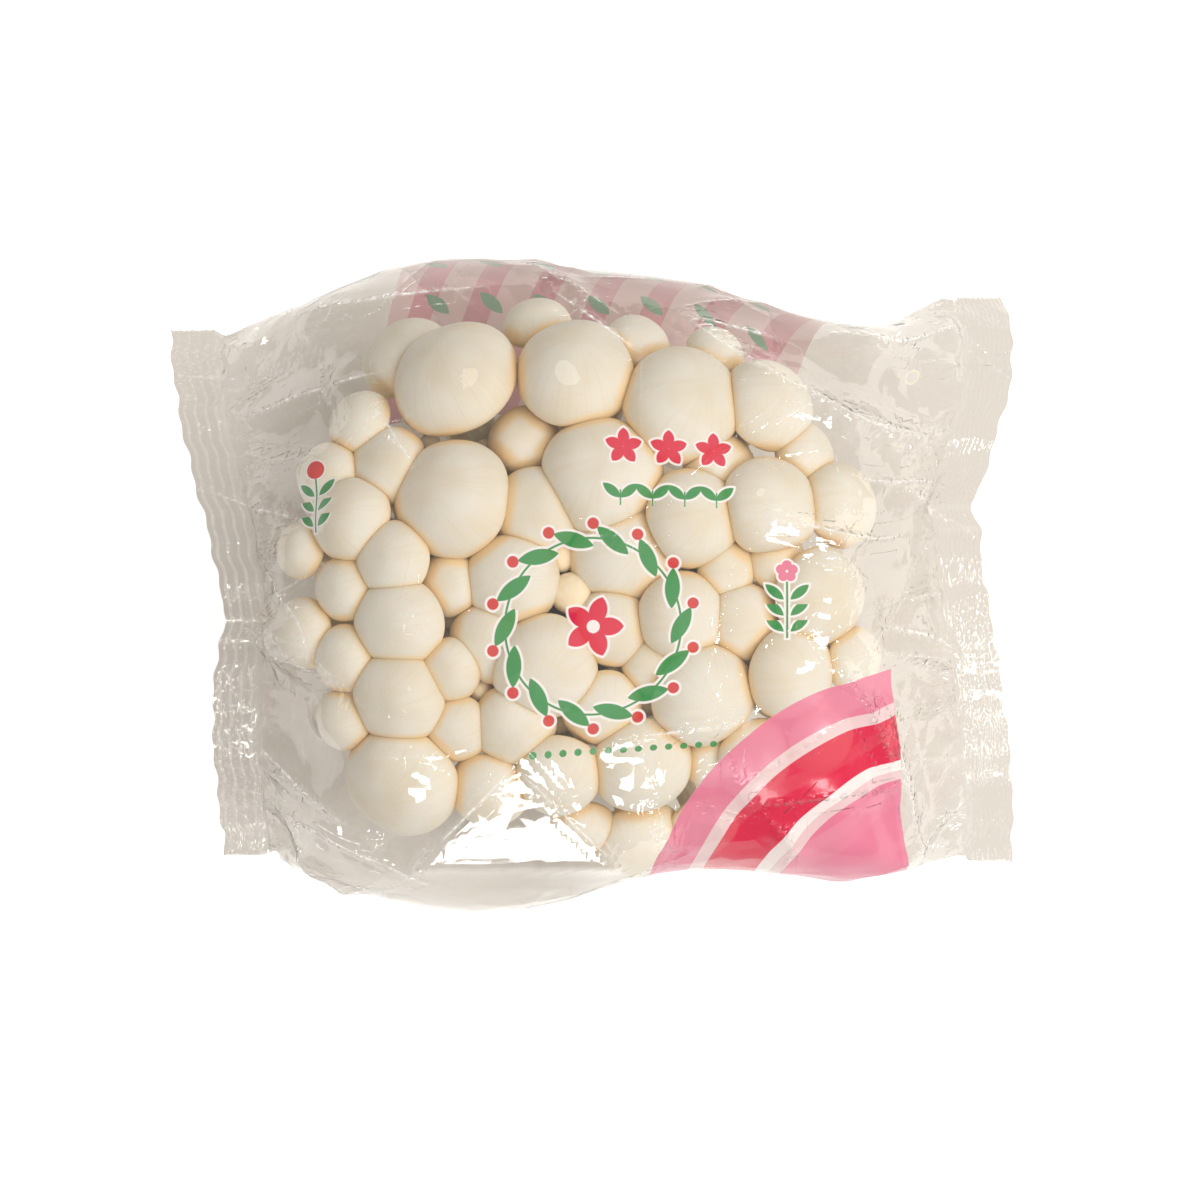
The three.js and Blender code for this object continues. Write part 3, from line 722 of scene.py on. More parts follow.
def read_clearance(points):
    """Distance (n,) and the unit way out (n, 3) at points (n, 3), linear between the cells."""
    place = (points - grid_low) / CELL
    first = np.clip(np.floor(place).astype(int), 0, np.array(grid_shape) - 2)
    x, y, z = np.clip(place - first, 0, 1).T
    flat = clearance.reshape(-1)
    strides = np.array([grid_shape[1] * grid_shape[2], grid_shape[2], 1])
    at = first @ strides
    v = [[[flat[at + [i, j, k] @ strides] for k in (0, 1)] for j in (0, 1)] for i in (0, 1)]
    low_x = [[v[0][j][k] * (1 - x) + v[1][j][k] * x for k in (0, 1)] for j in (0, 1)]
    slope_x = [[v[1][j][k] - v[0][j][k] for k in (0, 1)] for j in (0, 1)]
    low_y = [low_x[0][k] * (1 - y) + low_x[1][k] * y for k in (0, 1)]
    slope = np.stack([
        (slope_x[0][0] * (1 - y) + slope_x[1][0] * y) * (1 - z)
        + (slope_x[0][1] * (1 - y) + slope_x[1][1] * y) * z,
        (low_x[1][0] - low_x[0][0]) * (1 - z) + (low_x[1][1] - low_x[0][1]) * z,
        low_y[1] - low_y[0]], -1)
    slope /= np.maximum(np.linalg.norm(slope, axis=-1, keepdims=True), 1e-9)
    return low_y[0] * (1 - z) + low_y[1] * z, slope


# %% Mushroom pieces
flesh = flesh_material()
for mushroom in mushrooms:
    grid, top, tip, enclosed = mushroom_surface(mushroom)
    mesh = grid_mesh(mushroom["name"] + "_grown", (grid, top, tip))
    growth_attributes(mesh, len(grid), enclosed)
    add_piece(mushroom["name"] + "_grown", mesh, flesh, "mushroom_flesh", mushroom["name"])
print("triangles in a mushroom:", 2 * TURNS * len(grid))

# %% [markdown]
# ## Drawing the film tight
# A film that is pulled over things takes the shortest way between them. The tube is drawn tight
# round the mushrooms: each point goes toward the middle of its neighbours, unless a mushroom is
# in the way. The sides of the pack are held back, because air is left in there.

# %% Moves of a tube of film
FLOOR_GAP = 0.06 * MM


def outside(tube, offset):
    """The tube with every point that is nearer than offset to a mushroom, or under the floor,
    put outside."""
    flat = tube.reshape(-1, 3)
    distance, way_out = read_clearance(flat)
    tube = (flat + way_out * np.maximum(offset - distance, 0)[:, None]).reshape(tube.shape)
    tube[..., 2] = np.maximum(tube[..., 2], FLOOR_GAP)
    return tube


def tube_normals(tube):
    """Outward unit normals (rings, around, 3) of the tube, from its two grid directions."""
    along = np.gradient(tube, axis=0)
    around = np.roll(tube, -1, 1) - np.roll(tube, 1, 1)
    normals = np.cross(along, around)
    return normals / np.maximum(np.linalg.norm(normals, axis=-1, keepdims=True), 1e-9)


def smoothed(tube):
    """Each point halfway to the middle of its neighbours, first round, then along the tube."""
    tube = (np.roll(tube, 1, 1) + 2 * tube + np.roll(tube, -1, 1)) / 4
    return np.concatenate([tube[:1], (tube[:-2] + 2 * tube[1:-1] + tube[2:]) / 4, tube[-1:]])


def spread_to(tube, rows, columns):
    """The tube read at another number of rings and points round, linear between its own."""
    place = np.linspace(0, len(tube) - 1, rows)
    low = np.minimum(place.astype(int), len(tube) - 2)
    tube = tube[low] + (tube[low + 1] - tube[low]) * (place - low)[:, None, None]
    place = np.arange(columns) / columns * tube.shape[1]
    low = place.astype(int)
    return tube[:, low] + (tube[:, (low + 1) % tube.shape[1]] - tube[:, low]) * (place - low)[:, None]


# %% Tight film
SIDE_HOLD, AIR_HOLD = 0.16, 0.03      # how far the sides, and the whole bag, keep the air in
SEAL_HOLD, END_HOLD = (0.5, 0.5, 0.04), (1, 1, 0.3)     # along X, Y and Z
COARSE_STEP = 4.0 * MM
COARSE_ROUNDS, MIDDLE_ROUNDS, FINE_ROUNDS = 140, 40, 12
TIGHT_OFFSET = 0.4 * MM


def drawn_tight(tube):
    """The tube after it is drawn tight, first on a coarse copy, then briefly on itself."""
    coarse = round(film_length / COARSE_STEP) + 1, 4 * round(girth / COARSE_STEP / 4)
    finer = 2 * coarse[0], 2 * coarse[1]
    now = tube
    for size, rounds in ((coarse, COARSE_ROUNDS), (finer, MIDDLE_ROUNDS), (tube.shape[:2], FINE_ROUNDS)):
        held, now = spread_to(tube, *size), spread_to(now, *size)
        is_seal = np.abs(np.linspace(-0.5, 0.5, size[0])) * film_length > film_length / 2 - SEAL_WIDTH
        mirrored = (size[1] // 2 - np.arange(size[1])) % size[1]
        hold = SIDE_HOLD * smooth_step((np.abs(tube_normals(held)[..., 1]) - 0.5) / 0.4)[..., None]
        puffed = 1 - smooth_step((np.abs(np.linspace(-1, 1, size[0])) - 0.45) / 0.2)
        hold = np.maximum(hold, AIR_HOLD * puffed[:, None, None]) * np.ones(3)
        hold[is_seal] = SEAL_HOLD
        hold[[0, -1]] = END_HOLD
        for _ in range(rounds):
            now = smoothed(now)
            now = now + hold * (held - now)
            now[is_seal] = (now[is_seal] + now[is_seal][:, mirrored]) / 2
            now = outside(now, TIGHT_OFFSET)
    return now


# %% [markdown]
# ## Creasing the film
# The film is thin and stiff: it does not stretch, it folds. Its creases are laid in first, as
# sharp ridges on the tube. Because all the lengths of the sheet are then measured on the creased
# tube, the creases stay when the sheet is let go: it springs a little, presses on the caps and
# hangs between them.

# %% Lines of the creases
column_place = (np.arange(ALONG) / (ALONG - 1) - 0.5) * film_length
row_place = ((np.arange(AROUND) / AROUND + 0.5) % 1 - 0.5) * girth
LINE_REACH = 3.0 * MM
line_place = np.full((ALONG, AROUND), LINE_REACH)
line_mark = np.zeros((ALONG, AROUND))


def note_line(across, mark):
    """Keeps, where a crease is nearer than any before it, how far off its middle line is, with
    its sign, and how sharp the crease is there. A distance is linear between grid points, so
    the shader can draw a line that is much finer than the grid."""
    nearer = (mark > 0.02) & (np.abs(across) < np.abs(line_place))
    line_place[nearer] = across[nearer]
    line_mark[nearer] = mark[nearer]


def tent(distance, width):
    """1 at 0, falling in a straight line to 0 at the width."""
    return np.maximum(0, 1 - np.abs(distance) / width)


def from_row(place):
    """How far each row of the sheet is from a place round it, the short way round."""
    return (row_place[None] - place + girth / 2) % girth - girth / 2


print("steps along and round, mm:", round(film_length / (ALONG - 1) / MM, 3), round(girth / AROUND / MM, 3))

# %% [markdown]
# The larger folds run where the bag is pulled between the bunch and its seals. Each is a tent
# over a line in the plan, so the list below holds only its ends, its height and its half width.

# %% Folds
def fold_line(plan, start, end, width, on_top):
    """A ridge over a line in the plan: a tent across it, dying out toward both ends."""
    start, end = np.array(start) * MM, np.array(end) * MM
    along = (end - start) / np.linalg.norm(end - start)
    from_start = plan - start
    share = from_start @ along / np.linalg.norm(end - start)
    across = from_start @ [-along[1], along[0]]
    fade = np.sin(np.clip(share, 0, 1) * math.pi) ** 0.5
    note_line(across, fade * on_top)
    return tent(across, width) * fade


# start x, y, end x, y, height and half width, all in mm, of the larger folds on the top side
FOLDS = [
    (17, 53, 38, 39, 1.6, 3.5), (28, 44, 68, 25, 2.6, 4.5), (17, 53, 38, 48, 1.2, 3),
    (52, 35, 66, 25, 1.2, 3), (30, 13, 64, 7, 1.8, 4.5), (-43, 36, -35, 23, 1.6, 4),
    (-35, -56, -14, -35, 2.0, 6), (-15, -36, 6, -56, 1.8, 6), (4, -31, 32, -27, 1.4, 3),
    (57, -22, 67, -58, 2.2, 5), (49, -15, 60, -38, 1.6, 4), (-72, 34, -40, 42, 1.6, 5),
    (-72, -28, -42, -52, 2.0, 6), (-70, -42, -30, -60, 1.6, 5), (74, 14, 50, 22, 1.4, 4),
    (76, -18, 56, -8, 1.6, 5), (76, 46, 46, 50, 1.4, 5), (-68, 10, -54, -14, 1.4, 4),
    (-72, -8, -50, -20, 1.5, 4), (-60, 54, -20, 59, 1.4, 5), (-76, 20, -56, 12, 1.4, 5),
    (30, -44, 66, -40, 1.2, 4), (-8, 58, 10, 45, 1.2, 4), (78, 4, 60, 18, 1.4, 4),
]
print("larger folds:", len(FOLDS))

# %% [markdown]
# Where two folds pull the film between them, it is as flat as glass and mirrors a lamp in one
# piece. Such a facet is a plane under a small outline. Its slope along Y is halfway between the
# line of sight and the line to the low lamp in front, which is what makes it shine.

# %% Flat facets
FACET_EDGE = 1.2 * MM

# corners x, y in mm, start of the plane, its slopes along X and Y, and how high it starts
FACETS = [
    (((-35, -57), (6, -57), (-13, -31)), (-13, -33), -0.02, 0.36, 1.8),
    (((34, 9), (42, 7.2), (43, 11.5), (35, 14)), (38, 12), 0.04, 0.41, 1.2),
    (((43, 7), (50, 5), (51, 8.5), (44, 11.5)), (47, 9), 0.05, 0.41, 1.2),
    (((41.5, 36.8), (46, 34), (46.5, 36.3), (42, 39.5)), (44, 37.6), 0.05, 0.43, 0.5),
    (((47, 32.8), (52, 30.2), (52.5, 32.6), (47.5, 35.8)), (50, 33.6), 0.055, 0.43, 0.5),
    (((57, 28), (61.5, 26), (62, 28), (57.5, 30.5)), (59.5, 28.8), 0.07, 0.43, 0.5),
    (((62.5, 25.2), (67, 23.4), (67.5, 25.2), (63, 27.5)), (65, 25.8), 0.075, 0.43, 0.5),
    (((5, -33), (30, -29), (31, -25.5), (6, -29)), (18, -27), 0.02, 0.37, 0.8),
    (((-4, -57), (-2, -52), (22, -49), (20, -57)), (9, -50), 0.01, 0.355, 0.8),
]


def in_facet(plan, corners):
    """1 inside a convex outline, given counterclockwise, 0 outside, with a slope at its edges."""
    inside = np.ones(plan.shape[:2])
    for start, end in zip(corners, corners[1:] + corners[:1]):
        start, end = np.array(start) * MM, np.array(end) * MM
        along = (end - start) / np.linalg.norm(end - start)
        inside = np.minimum(inside, (plan - start) @ [-along[1], along[0]] / FACET_EDGE + 0.5)
    return np.clip(inside, 0, 1)


def flattened(tube, on_top):
    """The tube with its flat facets, where the film is stretched between two folds in a plane,
    and how far each point belongs to one."""
    calm = np.zeros(tube.shape[:2])
    for corners, start, slope_x, slope_y, lift in FACETS:
        x, y = tube[..., 0] - start[0] * MM, tube[..., 1] - start[1] * MM
        nearest = np.argmin(np.hypot(x, y) + np.where(on_top > 0.5, 0, 1))
        plane = tube[..., 2].flat[nearest] + lift * MM + x * slope_x + y * slope_y
        share = in_facet(tube[..., :2], corners) * on_top
        tube[..., 2] += share * (plane - tube[..., 2])
        calm = np.maximum(calm, share)
    return tube, calm


print("flat facets:", len(FACETS))

# %% Pleats and crinkles
PLEATS = 40
crease_rng = np.random.default_rng(31)


def pleats(tube):
    """Height (rings, around) of the pleats that run out of the end seals, in tents of random
    place, width and length, with a random slant."""
    height = np.zeros(tube.shape[:2])
    for sign in (-1, 1):
        from_seal = film_length / 2 - SEAL_WIDTH - column_place * sign
        for _ in range(PLEATS):
            place = crease_rng.uniform(-0.5, 0.5) * girth
            width = crease_rng.uniform(3.0, 9.0) * MM
            reach = crease_rng.uniform(12, 52) * MM
            slant = crease_rng.normal(0, 0.35)
            depth = crease_rng.uniform(0.08, 0.30) * width * crease_rng.choice((-1, 1))
            across = from_row(place + slant * from_seal[:, None])
            fade = smooth_step((from_seal + 2 * MM) / (5 * MM)) * smooth_step(1 - from_seal / reach)
            spread = width * (0.5 + 0.8 * from_seal[:, None] / reach)
            height += depth * fade[:, None] * tent(across, spread)
            mark = fade[:, None] * min(0.7, abs(depth) / width * 3)
            note_line(across, np.broadcast_to(mark, across.shape))
    return height


def crinkles(tube, count):
    """Height of short creases strewn over the sheet, in any direction, shallow on the top."""
    height = np.zeros(tube.shape[:2])
    for _ in range(count):
        place = crease_rng.uniform(-0.46, 0.46) * film_length, crease_rng.uniform(-0.5, 0.5) * girth
        turn, half_width = crease_rng.uniform(0, math.pi), crease_rng.uniform(2.0, 5.5) * MM
        length = crease_rng.uniform(8, 32) * MM
        u, v = column_place[:, None] - place[0], from_row(place[1])
        along = u * math.cos(turn) + v * math.sin(turn)
        across = v * math.cos(turn) - u * math.sin(turn)
        fade, steepness = smooth_step(1 - np.abs(along) / length), crease_rng.uniform(-0.26, 0.34)
        height += steepness * half_width * tent(across, half_width) * fade
        note_line(across, 0.6 * fade * min(1.0, abs(steepness) * 3))
    return height


# %% [markdown]
# The machine that closed the pack pinched each end in one place and pulled it askew. The air
# that it shut in blows the sides out where the bunch leaves room.

# %% Creased film
CRINKLES = 170
CAPS_REACH = 56 * MM, 52 * MM                                    # of the bunch from its middle
SEAL_FADE, SEAL_BEND, ASKEW_FADE = 4 * MM, 14 * MM, 28 * MM      # how far from a seal each works
PINCH_WIDTH, PINCH_IN, PINCH_UP = 4.5 * MM, 1.8 * MM, 1.6 * MM

# of the -X and the +X end: the place of the pinch, the waves (length, height in mm, start), and
# the shift in mm and the stretch along Y by which it was pulled askew
SEAL_SHAPES = (
    (-7.0, ((37, 0.9, 0.4), (19, 0.5, 2.0), (9, 0.18, 1.0)), 0.0, -0.05),
    (11.0, ((43, 1.0, 1.9), (23, 0.5, 0.3), (11, 0.15, 0.2)), 4.6, 0.035))

# where air blows the sides out: middle and reach along X, the side, and how far, all in mm
BULGES = ((-34, 48, 1, 2.6), (-32, 46, -1, 1.4))


def wave(place, wide, high, start=0.0):
    """A sine of a length and a height, both in mm, over places in metres."""
    return high * MM * np.sin(2 * math.pi * place / (wide * MM) + start)


def blown_out(tube):
    """The tube with its sides swollen: most at the middle of a bulge, none over the caps."""
    for middle, reach_along, side, out in BULGES:
        near = smooth_step(1 - np.abs(tube[..., 0] / MM - middle) / reach_along)
        beside = smooth_step((side * tube[..., 1] / MM - 28) / 24)
        tube[..., 1] += side * out * MM * near * beside
    return tube


def pulled_askew(tube, y, outside_seal):
    """The tube with its two ends shifted, stretched, waved and pinched, each in its own way. y
    is where each point was along the seal, and outside_seal how far it is from the seal."""
    near_seal = smooth_step(1 - outside_seal / SEAL_BEND)[:, None]
    askew = smooth_step(1 - outside_seal / ASKEW_FADE)[:, None]
    for sign, (notch, waves, shift, stretch) in zip((-1, 1), SEAL_SHAPES):
        at_end = column_place[:, None] * sign > 0
        tube[..., 1] += askew * at_end * (shift * MM + stretch * y)
        side = near_seal * at_end
        tube[..., 0] -= sign * side * wave(y, 8.5, 0.45) * wave(y, 23, 1) / MM
        tube[..., 2] += side * sum(wave(y, *shape) for shape in waves)
        pinch = side * tent(y - notch * MM, PINCH_WIDTH)
        tube[..., 0] -= sign * PINCH_IN * pinch
        tube[..., 2] += PINCH_UP * pinch
    return tube


def creased(tube):
    """The tube with its bulges, folds, pleats and crinkles, which fade out in the end seals, and
    how far each point belongs to a flat facet."""
    tube = blown_out(tube)
    normals = tube_normals(tube)
    on_top = smooth_step((normals[..., 2] - 0.1) / 0.4)
    plan = tube[..., :2]
    height = pleats(tube)
    from_middle = np.hypot(plan[..., 0] / CAPS_REACH[0], plan[..., 1] / CAPS_REACH[1])
    height += crinkles(tube, CRINKLES) * (0.3 + 0.7 * smooth_step((from_middle - 0.6) / 0.5))
    for *line, high, width in FOLDS:
        height += fold_line(plan, line[:2], line[2:], width * MM, on_top) * high * MM * on_top
    outside_seal = film_length / 2 - SEAL_WIDTH - np.abs(column_place)
    height *= smooth_step(outside_seal / SEAL_FADE)[:, None]
    tube, calm = flattened(tube + normals * height[..., None], on_top)
    return pulled_askew(tube, plan[..., 1], outside_seal), calm


tight_tube, calm = creased(drawn_tight(tube))
print("crease lines lie within 3 mm of", round(float((line_mark > 0).mean()), 2), "of the sheet")


# %% [markdown]
# ## Letting the film go
# Now the sheet is let go. Threads between neighbouring points keep their lengths, weight draws
# it down, the mushrooms hold it up, and each end seal is pressed to one thickness.

# %% Threads of the sheet
FILM_OFFSET = 0.25 * MM
SLACK = 0.004
GO_ROUNDS = 40
STEP_KEPT, SAG = 0.9, 0.004 * MM
SEAL_GAP, HALF_GAP = 0.05 * MM, 0.1 * MM
NEAR_SEAL = 25 * MM
SEAL_STAYS, SHEET_STAYS, FACET_STAYS = 0.06, 0.004, 0.25      # share drawn back in every round


def pull(tube, first, second, rest, hold):
    """Moves pairs of points so that their distance comes to rest: fully when it is too long,
    by the share hold when it is too short."""
    a, b = tube[first], tube[second]
    between = b - a
    length = np.sqrt((between ** 2).sum(-1))
    share = 0.5 * (1 - rest / np.maximum(length, 1e-9))
    move = between * (share * np.where(share > 0, 1.0, hold))[..., None]
    tube[first] = a + move
    tube[second] = b - move


def sheet_pairs(shape):
    """The pairs of grid points that hold the sheet, in sets in which no point comes twice:
    neighbours along and round, both diagonals, and next but one for the bending."""
    rows, columns = shape
    sets = []
    whole = np.arange(columns)
    for parity in (0, 1):
        i = np.arange(parity, rows - 1, 2)
        sets.append((np.ix_(i, whole), np.ix_(i + 1, whole), 1.0))
        j = np.arange(parity, columns, 2)
        sets.append((np.ix_(np.arange(rows), j), np.ix_(np.arange(rows), (j + 1) % columns), 1.0))
        for step in (1, -1):
            sets.append((np.ix_(i, whole), np.ix_(i + 1, (whole + step) % columns), 0.3))
    for start in (0, 1, 2, 3):
        i = np.arange(start, rows - 2, 4)
        sets.append((np.ix_(i, whole), np.ix_(i + 2, whole), 0.25))
        j = np.arange(start, columns, 4)
        sets.append((np.ix_(np.arange(rows), j), np.ix_(np.arange(rows), (j + 2) % columns), 0.25))
    return sets


# %% Film let go
def let_go(tube, calm, rounds):
    """The creased sheet after it has sprung back, pressed on the caps and sagged.

    Every round moves each point on by nine tenths of its last step and a little down, sets the
    pairs to their lengths, presses the two halves of the end seals together, draws each point a
    little toward its crease, and puts points inside a mushroom or the floor outside again."""
    rest_tube = tube.copy()
    pairs = sheet_pairs(tube.shape[:2])
    rests = [np.linalg.norm(tube[second] - tube[first], axis=-1) for first, second, _ in pairs]
    in_seal = np.abs(column_place) > film_length / 2 - SEAL_WIDTH
    near_seal = np.abs(column_place) > film_length / 2 - NEAR_SEAL
    mirrored = (AROUND // 2 - np.arange(AROUND)) % AROUND
    upper = np.where((np.arange(AROUND) < AROUND // 4) | (np.arange(AROUND) > 3 * AROUND // 4), 1.0, -1.0)
    upper[[AROUND // 4, 3 * AROUND // 4]] = 0.0
    last = tube.copy()
    for _ in range(rounds):
        step = STEP_KEPT * (tube - last)
        last = tube.copy()
        tube = tube + step + [0, 0, -SAG]
        for (first, second, hold), rest in zip(pairs, rests):
            pull(tube, first, second, rest * (1 - SLACK), hold)
        seal = tube[in_seal]
        seal = (seal + seal[:, mirrored]) / 2
        seal[..., 2] += upper * SEAL_GAP
        tube[in_seal] = seal + SEAL_STAYS * (rest_tube[in_seal] - seal)
        tube += np.maximum(SHEET_STAYS, FACET_STAYS * calm)[..., None] * (rest_tube - tube)
        tube = outside(tube, FILM_OFFSET)
        crossing = np.maximum(0, (tube[:, mirrored, 2] - tube[..., 2]) * (upper > 0) + HALF_GAP)
        lift = np.where((upper > 0) & near_seal[:, None], crossing / 2, 0)
        tube[..., 2] += lift - lift[:, mirrored]
    return tube


tube = let_go(tight_tube, calm, GO_ROUNDS)
lowest, highest = tube[..., 2].min(), tube[..., 2].max()
print("film lowest and highest mm:", round(lowest / MM, 2), round(highest / MM, 2))

# %% Film mesh
def film_mesh(tube, calm):
    """The film as one open-ended tube, with its flat cut as UV map in metres.

    U runs along the film and V round it, from the top's middle line, positive toward +Y. The
    cut is along the back, so V jumps between two neighbouring faces there and not inside one."""
    rows, columns = tube.shape[:2]
    row, column = np.meshgrid(np.arange(rows - 1), np.arange(columns), indexing="ij")
    mesh = bpy.data.meshes.new("film")
    mesh.from_pydata(tube.reshape(-1, 3), [], ring_quads(rows, columns).tolist())
    mesh.polygons.foreach_set("use_smooth", np.ones(len(mesh.polygons), bool))
    u = column_place[np.stack([row, row + 1, row + 1, row], -1)]
    v = row_place[column][..., None] + np.array([0, 0, 1, 1]) * girth / columns
    uv = mesh.uv_layers.new(name="flat")
    uv.data.foreach_set("uv", np.stack([u, np.broadcast_to(v, u.shape)], -1).ravel())
    bend = np.zeros(tube.shape[:2])
    bend[1:-1] = np.linalg.norm(tube[2:] - 2 * tube[1:-1] + tube[:-2], axis=-1)
    bend += np.linalg.norm(np.roll(tube, 1, 1) - 2 * tube + np.roll(tube, -1, 1), axis=-1)
    sharp = smooth_step((bend / FILM_STEP - 0.10) / 0.45)
    mark = line_mark * smooth_step((1 - np.abs(line_place) / LINE_REACH) / 0.3)
    lines = np.stack([line_place / MM, mark, sharp], -1)
    mesh.attributes.new("crease", "FLOAT_VECTOR", "POINT").data.foreach_set("vector", lines.ravel())
    mesh.attributes.new("calm", "FLOAT", "POINT").data.foreach_set("value", calm.ravel())
    return mesh


def flat_place(tube, x, y):
    """Where a point of the plan, in mm, lies on the flat cut of the top side, in mm."""
    off = np.hypot(tube[..., 0] - x * MM, tube[..., 1] - y * MM) + np.where(tube[..., 2] < 0.02, 1, 0)
    i, j = np.unravel_index(np.argmin(off), off.shape)
    return column_place[i] / MM, row_place[j] / MM


print("middle of the top on the flat cut, mm:", [round(float(c), 1) for c in flat_place(tube, 0, 0)])

# %% [markdown]
# ## Clear film and its printing
# Thin polypropylene, printed inside. Clear film only tints a little and mirrors the lamps. The
# inks are thin and nearly opaque. The print is drawn with distances on the flat cut, in mm: a
# disc, a ring or a leaf is where its distance is below 0. Small repeated motifs are one motif
# whose coordinates are folded round a centre or along a row.

# %% Shader arithmetic
class Field:
    """A number that the shader has at every point. Arithmetic on it adds Math nodes."""

    def __init__(self, tree, value):
        self.tree, self.value = tree, value

    def math(self, operation, *others):
        """The result of a Math node that takes this number first, then the others."""
        values = [self.value, *[o.value if isinstance(o, Field) else float(o) for o in others]]
        node = add_node(self.tree, "ShaderNodeMath", {"operation": operation}, dict(enumerate(values)))
        return Field(self.tree, node.outputs[0])

    def __add__(self, other): return self.math("ADD", other)
    def __sub__(self, other): return self.math("SUBTRACT", other)
    def __mul__(self, other): return self.math("MULTIPLY", other)
    def __truediv__(self, other): return self.math("DIVIDE", other)
    def __abs__(self): return self.math("ABSOLUTE")
    __radd__, __rmul__ = __add__, __mul__
    def least(self, other): return self.math("MINIMUM", other)
    def most(self, other): return self.math("MAXIMUM", other)
    def cos(self): return self.math("COSINE")
    def sin(self): return self.math("SINE")
    def round(self): return self.math("ROUND")

    def inside(self, soft=0.08):
        """1 where the distance is below 0, 0 where it is above, with a soft edge in mm."""
        return (self * (-0.5 / soft) + 0.5).math("MAXIMUM", 0).math("MINIMUM", 1)


def length(x, y):
    """The root of the sum of the squares: how far a point is from the origin."""
    return (x * x + y * y).math("SQRT")


def disc(x, y, radius):
    """How far a point is outside a circle."""
    return length(x, y) - radius


def leaf(x, y, long, wide):
    """Two round arcs that meet in a tip at each end, long along x."""
    arc = (long ** 2 / wide + wide) / 4
    return length(x, abs(y) + (arc - wide / 2)) - arc


def turned(x, y, angle):
    """Coordinates along two axes that are turned counterclockwise by the angle."""
    c, s = math.cos(angle), math.sin(angle)
    return x * c + y * s, y * c - x * s


def round_copies(x, y, count, radius, start=0.0):
    """Coordinates folded into count equal sectors, with the origin at the radius; x leads out."""
    sector = 2 * math.pi / count
    turn = y.math("ARCTAN2", x) - start
    turn = turn - (turn / sector).round() * sector
    out = length(x, y)
    return turn.cos() * out - radius, turn.sin() * out


def row_copies(x, count, pitch):
    """The coordinate folded into count copies along a row, the middle of the row at 0."""
    shift = 0.5 if count % 2 == 0 else 0.0
    number = (x / pitch - shift).round() + shift
    limit = (count - 1) / 2
    number = number.most(-limit).least(limit)
    return x - number * pitch


# %% The print
PINK, MAGENTA, PALE, WHITE = "#e27b97", "#dc1a45", "#e9c9c9", "#f4ece8"
GREEN, RED = "#328f4e", "#d23a3e"
VENT_RADIUS = 1.6


def corner_arcs(x, y):
    """Broad arcs round the corner of the pack."""
    out = length(x, y)
    inks = [(out - 55, PALE), (abs(out - 51) - 4, PINK), (abs(out - 38.5) - 5.5, MAGENTA),
            (abs(out - 31.7) - 1.3, WHITE), (out - 28, PINK)]
    return [(distance.most(x + 1), colour) for distance, colour in inks]


def wreath(x, y):
    """A round wreath of leaves and berries on a thread, with a flower in the middle."""
    leaves = leaf(*turned(*round_copies(x, y, 14, 17.5), math.radians(62)), 8.4, 3.0)
    berries = disc(*round_copies(x, y, 14, 20.4, math.pi / 14), 1.15)
    petals = leaf(*round_copies(x, y, 5, 3.1), 6.0, 3.6)
    thread = abs(length(x, y) - 17.5) - 0.22
    ground = leaves.least(berries).least(petals).least(thread) - 0.5
    return [(ground, WHITE), (thread.least(leaves), GREEN), (berries, RED), (petals, MAGENTA),
            (disc(x, y, 1.3), WHITE)]


def flower_row(x, y):
    """Three flowers over a row of four pairs of leaves."""
    flowers = leaf(*round_copies(row_copies(x, 3, 9.0), y - 4.2, 5, 1.9, math.pi / 2), 3.8, 2.3)
    across, up = row_copies(x, 4, 6.4), y + 4.8
    pairs = leaf(*turned(abs(across) - 1.7, up, math.radians(38)), 4.6, 1.9)
    stalks = (abs(across) - 0.16).most(abs(up + 1.4) - 1.6)
    return [(flowers.least(pairs) - 0.45, WHITE), (flowers, MAGENTA), (pairs.least(stalks), GREEN)]


def sprig(x, y, blooms):
    """An upright stem with three pairs of leaves and a bloom: a flower or a single berry."""
    stem = (abs(x) - 0.22).most(abs(y + 2) - 6)
    pairs = turned(abs(x) - 2.6, row_copies(y + 2.5, 3, 3.4) - 0.9, math.radians(40))
    green = leaf(*pairs, 5.0, 1.9).least(stem)
    if blooms:
        bloom = disc(*round_copies(x, y - 6.2, 5, 1.3, math.pi / 2), 1.05)
    else:
        bloom = disc(x, y - 6.0, 2.0)
    return [(green.least(bloom) - 0.45, WHITE), (green, GREEN), (bloom, PINK if blooms else RED)]


def far_panel(x, y):
    """A pale field with slanted stripes and rows of tufts, on the far side of the pack."""
    panel = (abs(x + y * 0.25) - 43).most(abs(y) - 22)
    stripes = (abs(row_copies(x + y * 0.35, 9, 12.0)) - 2.6).most(panel)
    tufts = leaf(*turned(row_copies(x, 7, 11.0), row_copies(y, 3, 13.0), 0.8), 6.5, 2.8)
    return [(panel, "#eccfd0"), (stripes, "#e2a5b0"), (tufts.most(panel + 4), "#8db39a")]


def dotted_line(x, y):
    """A row of thirteen dots."""
    return [(disc(row_copies(x, 13, 3.0), y, 0.75), GREEN)]


def vent_ring(x, y):
    """A thin ring round the vent hole."""
    return [(abs(disc(x, y, VENT_RADIUS + 0.2)) - 0.3, "#e9dfc4")]


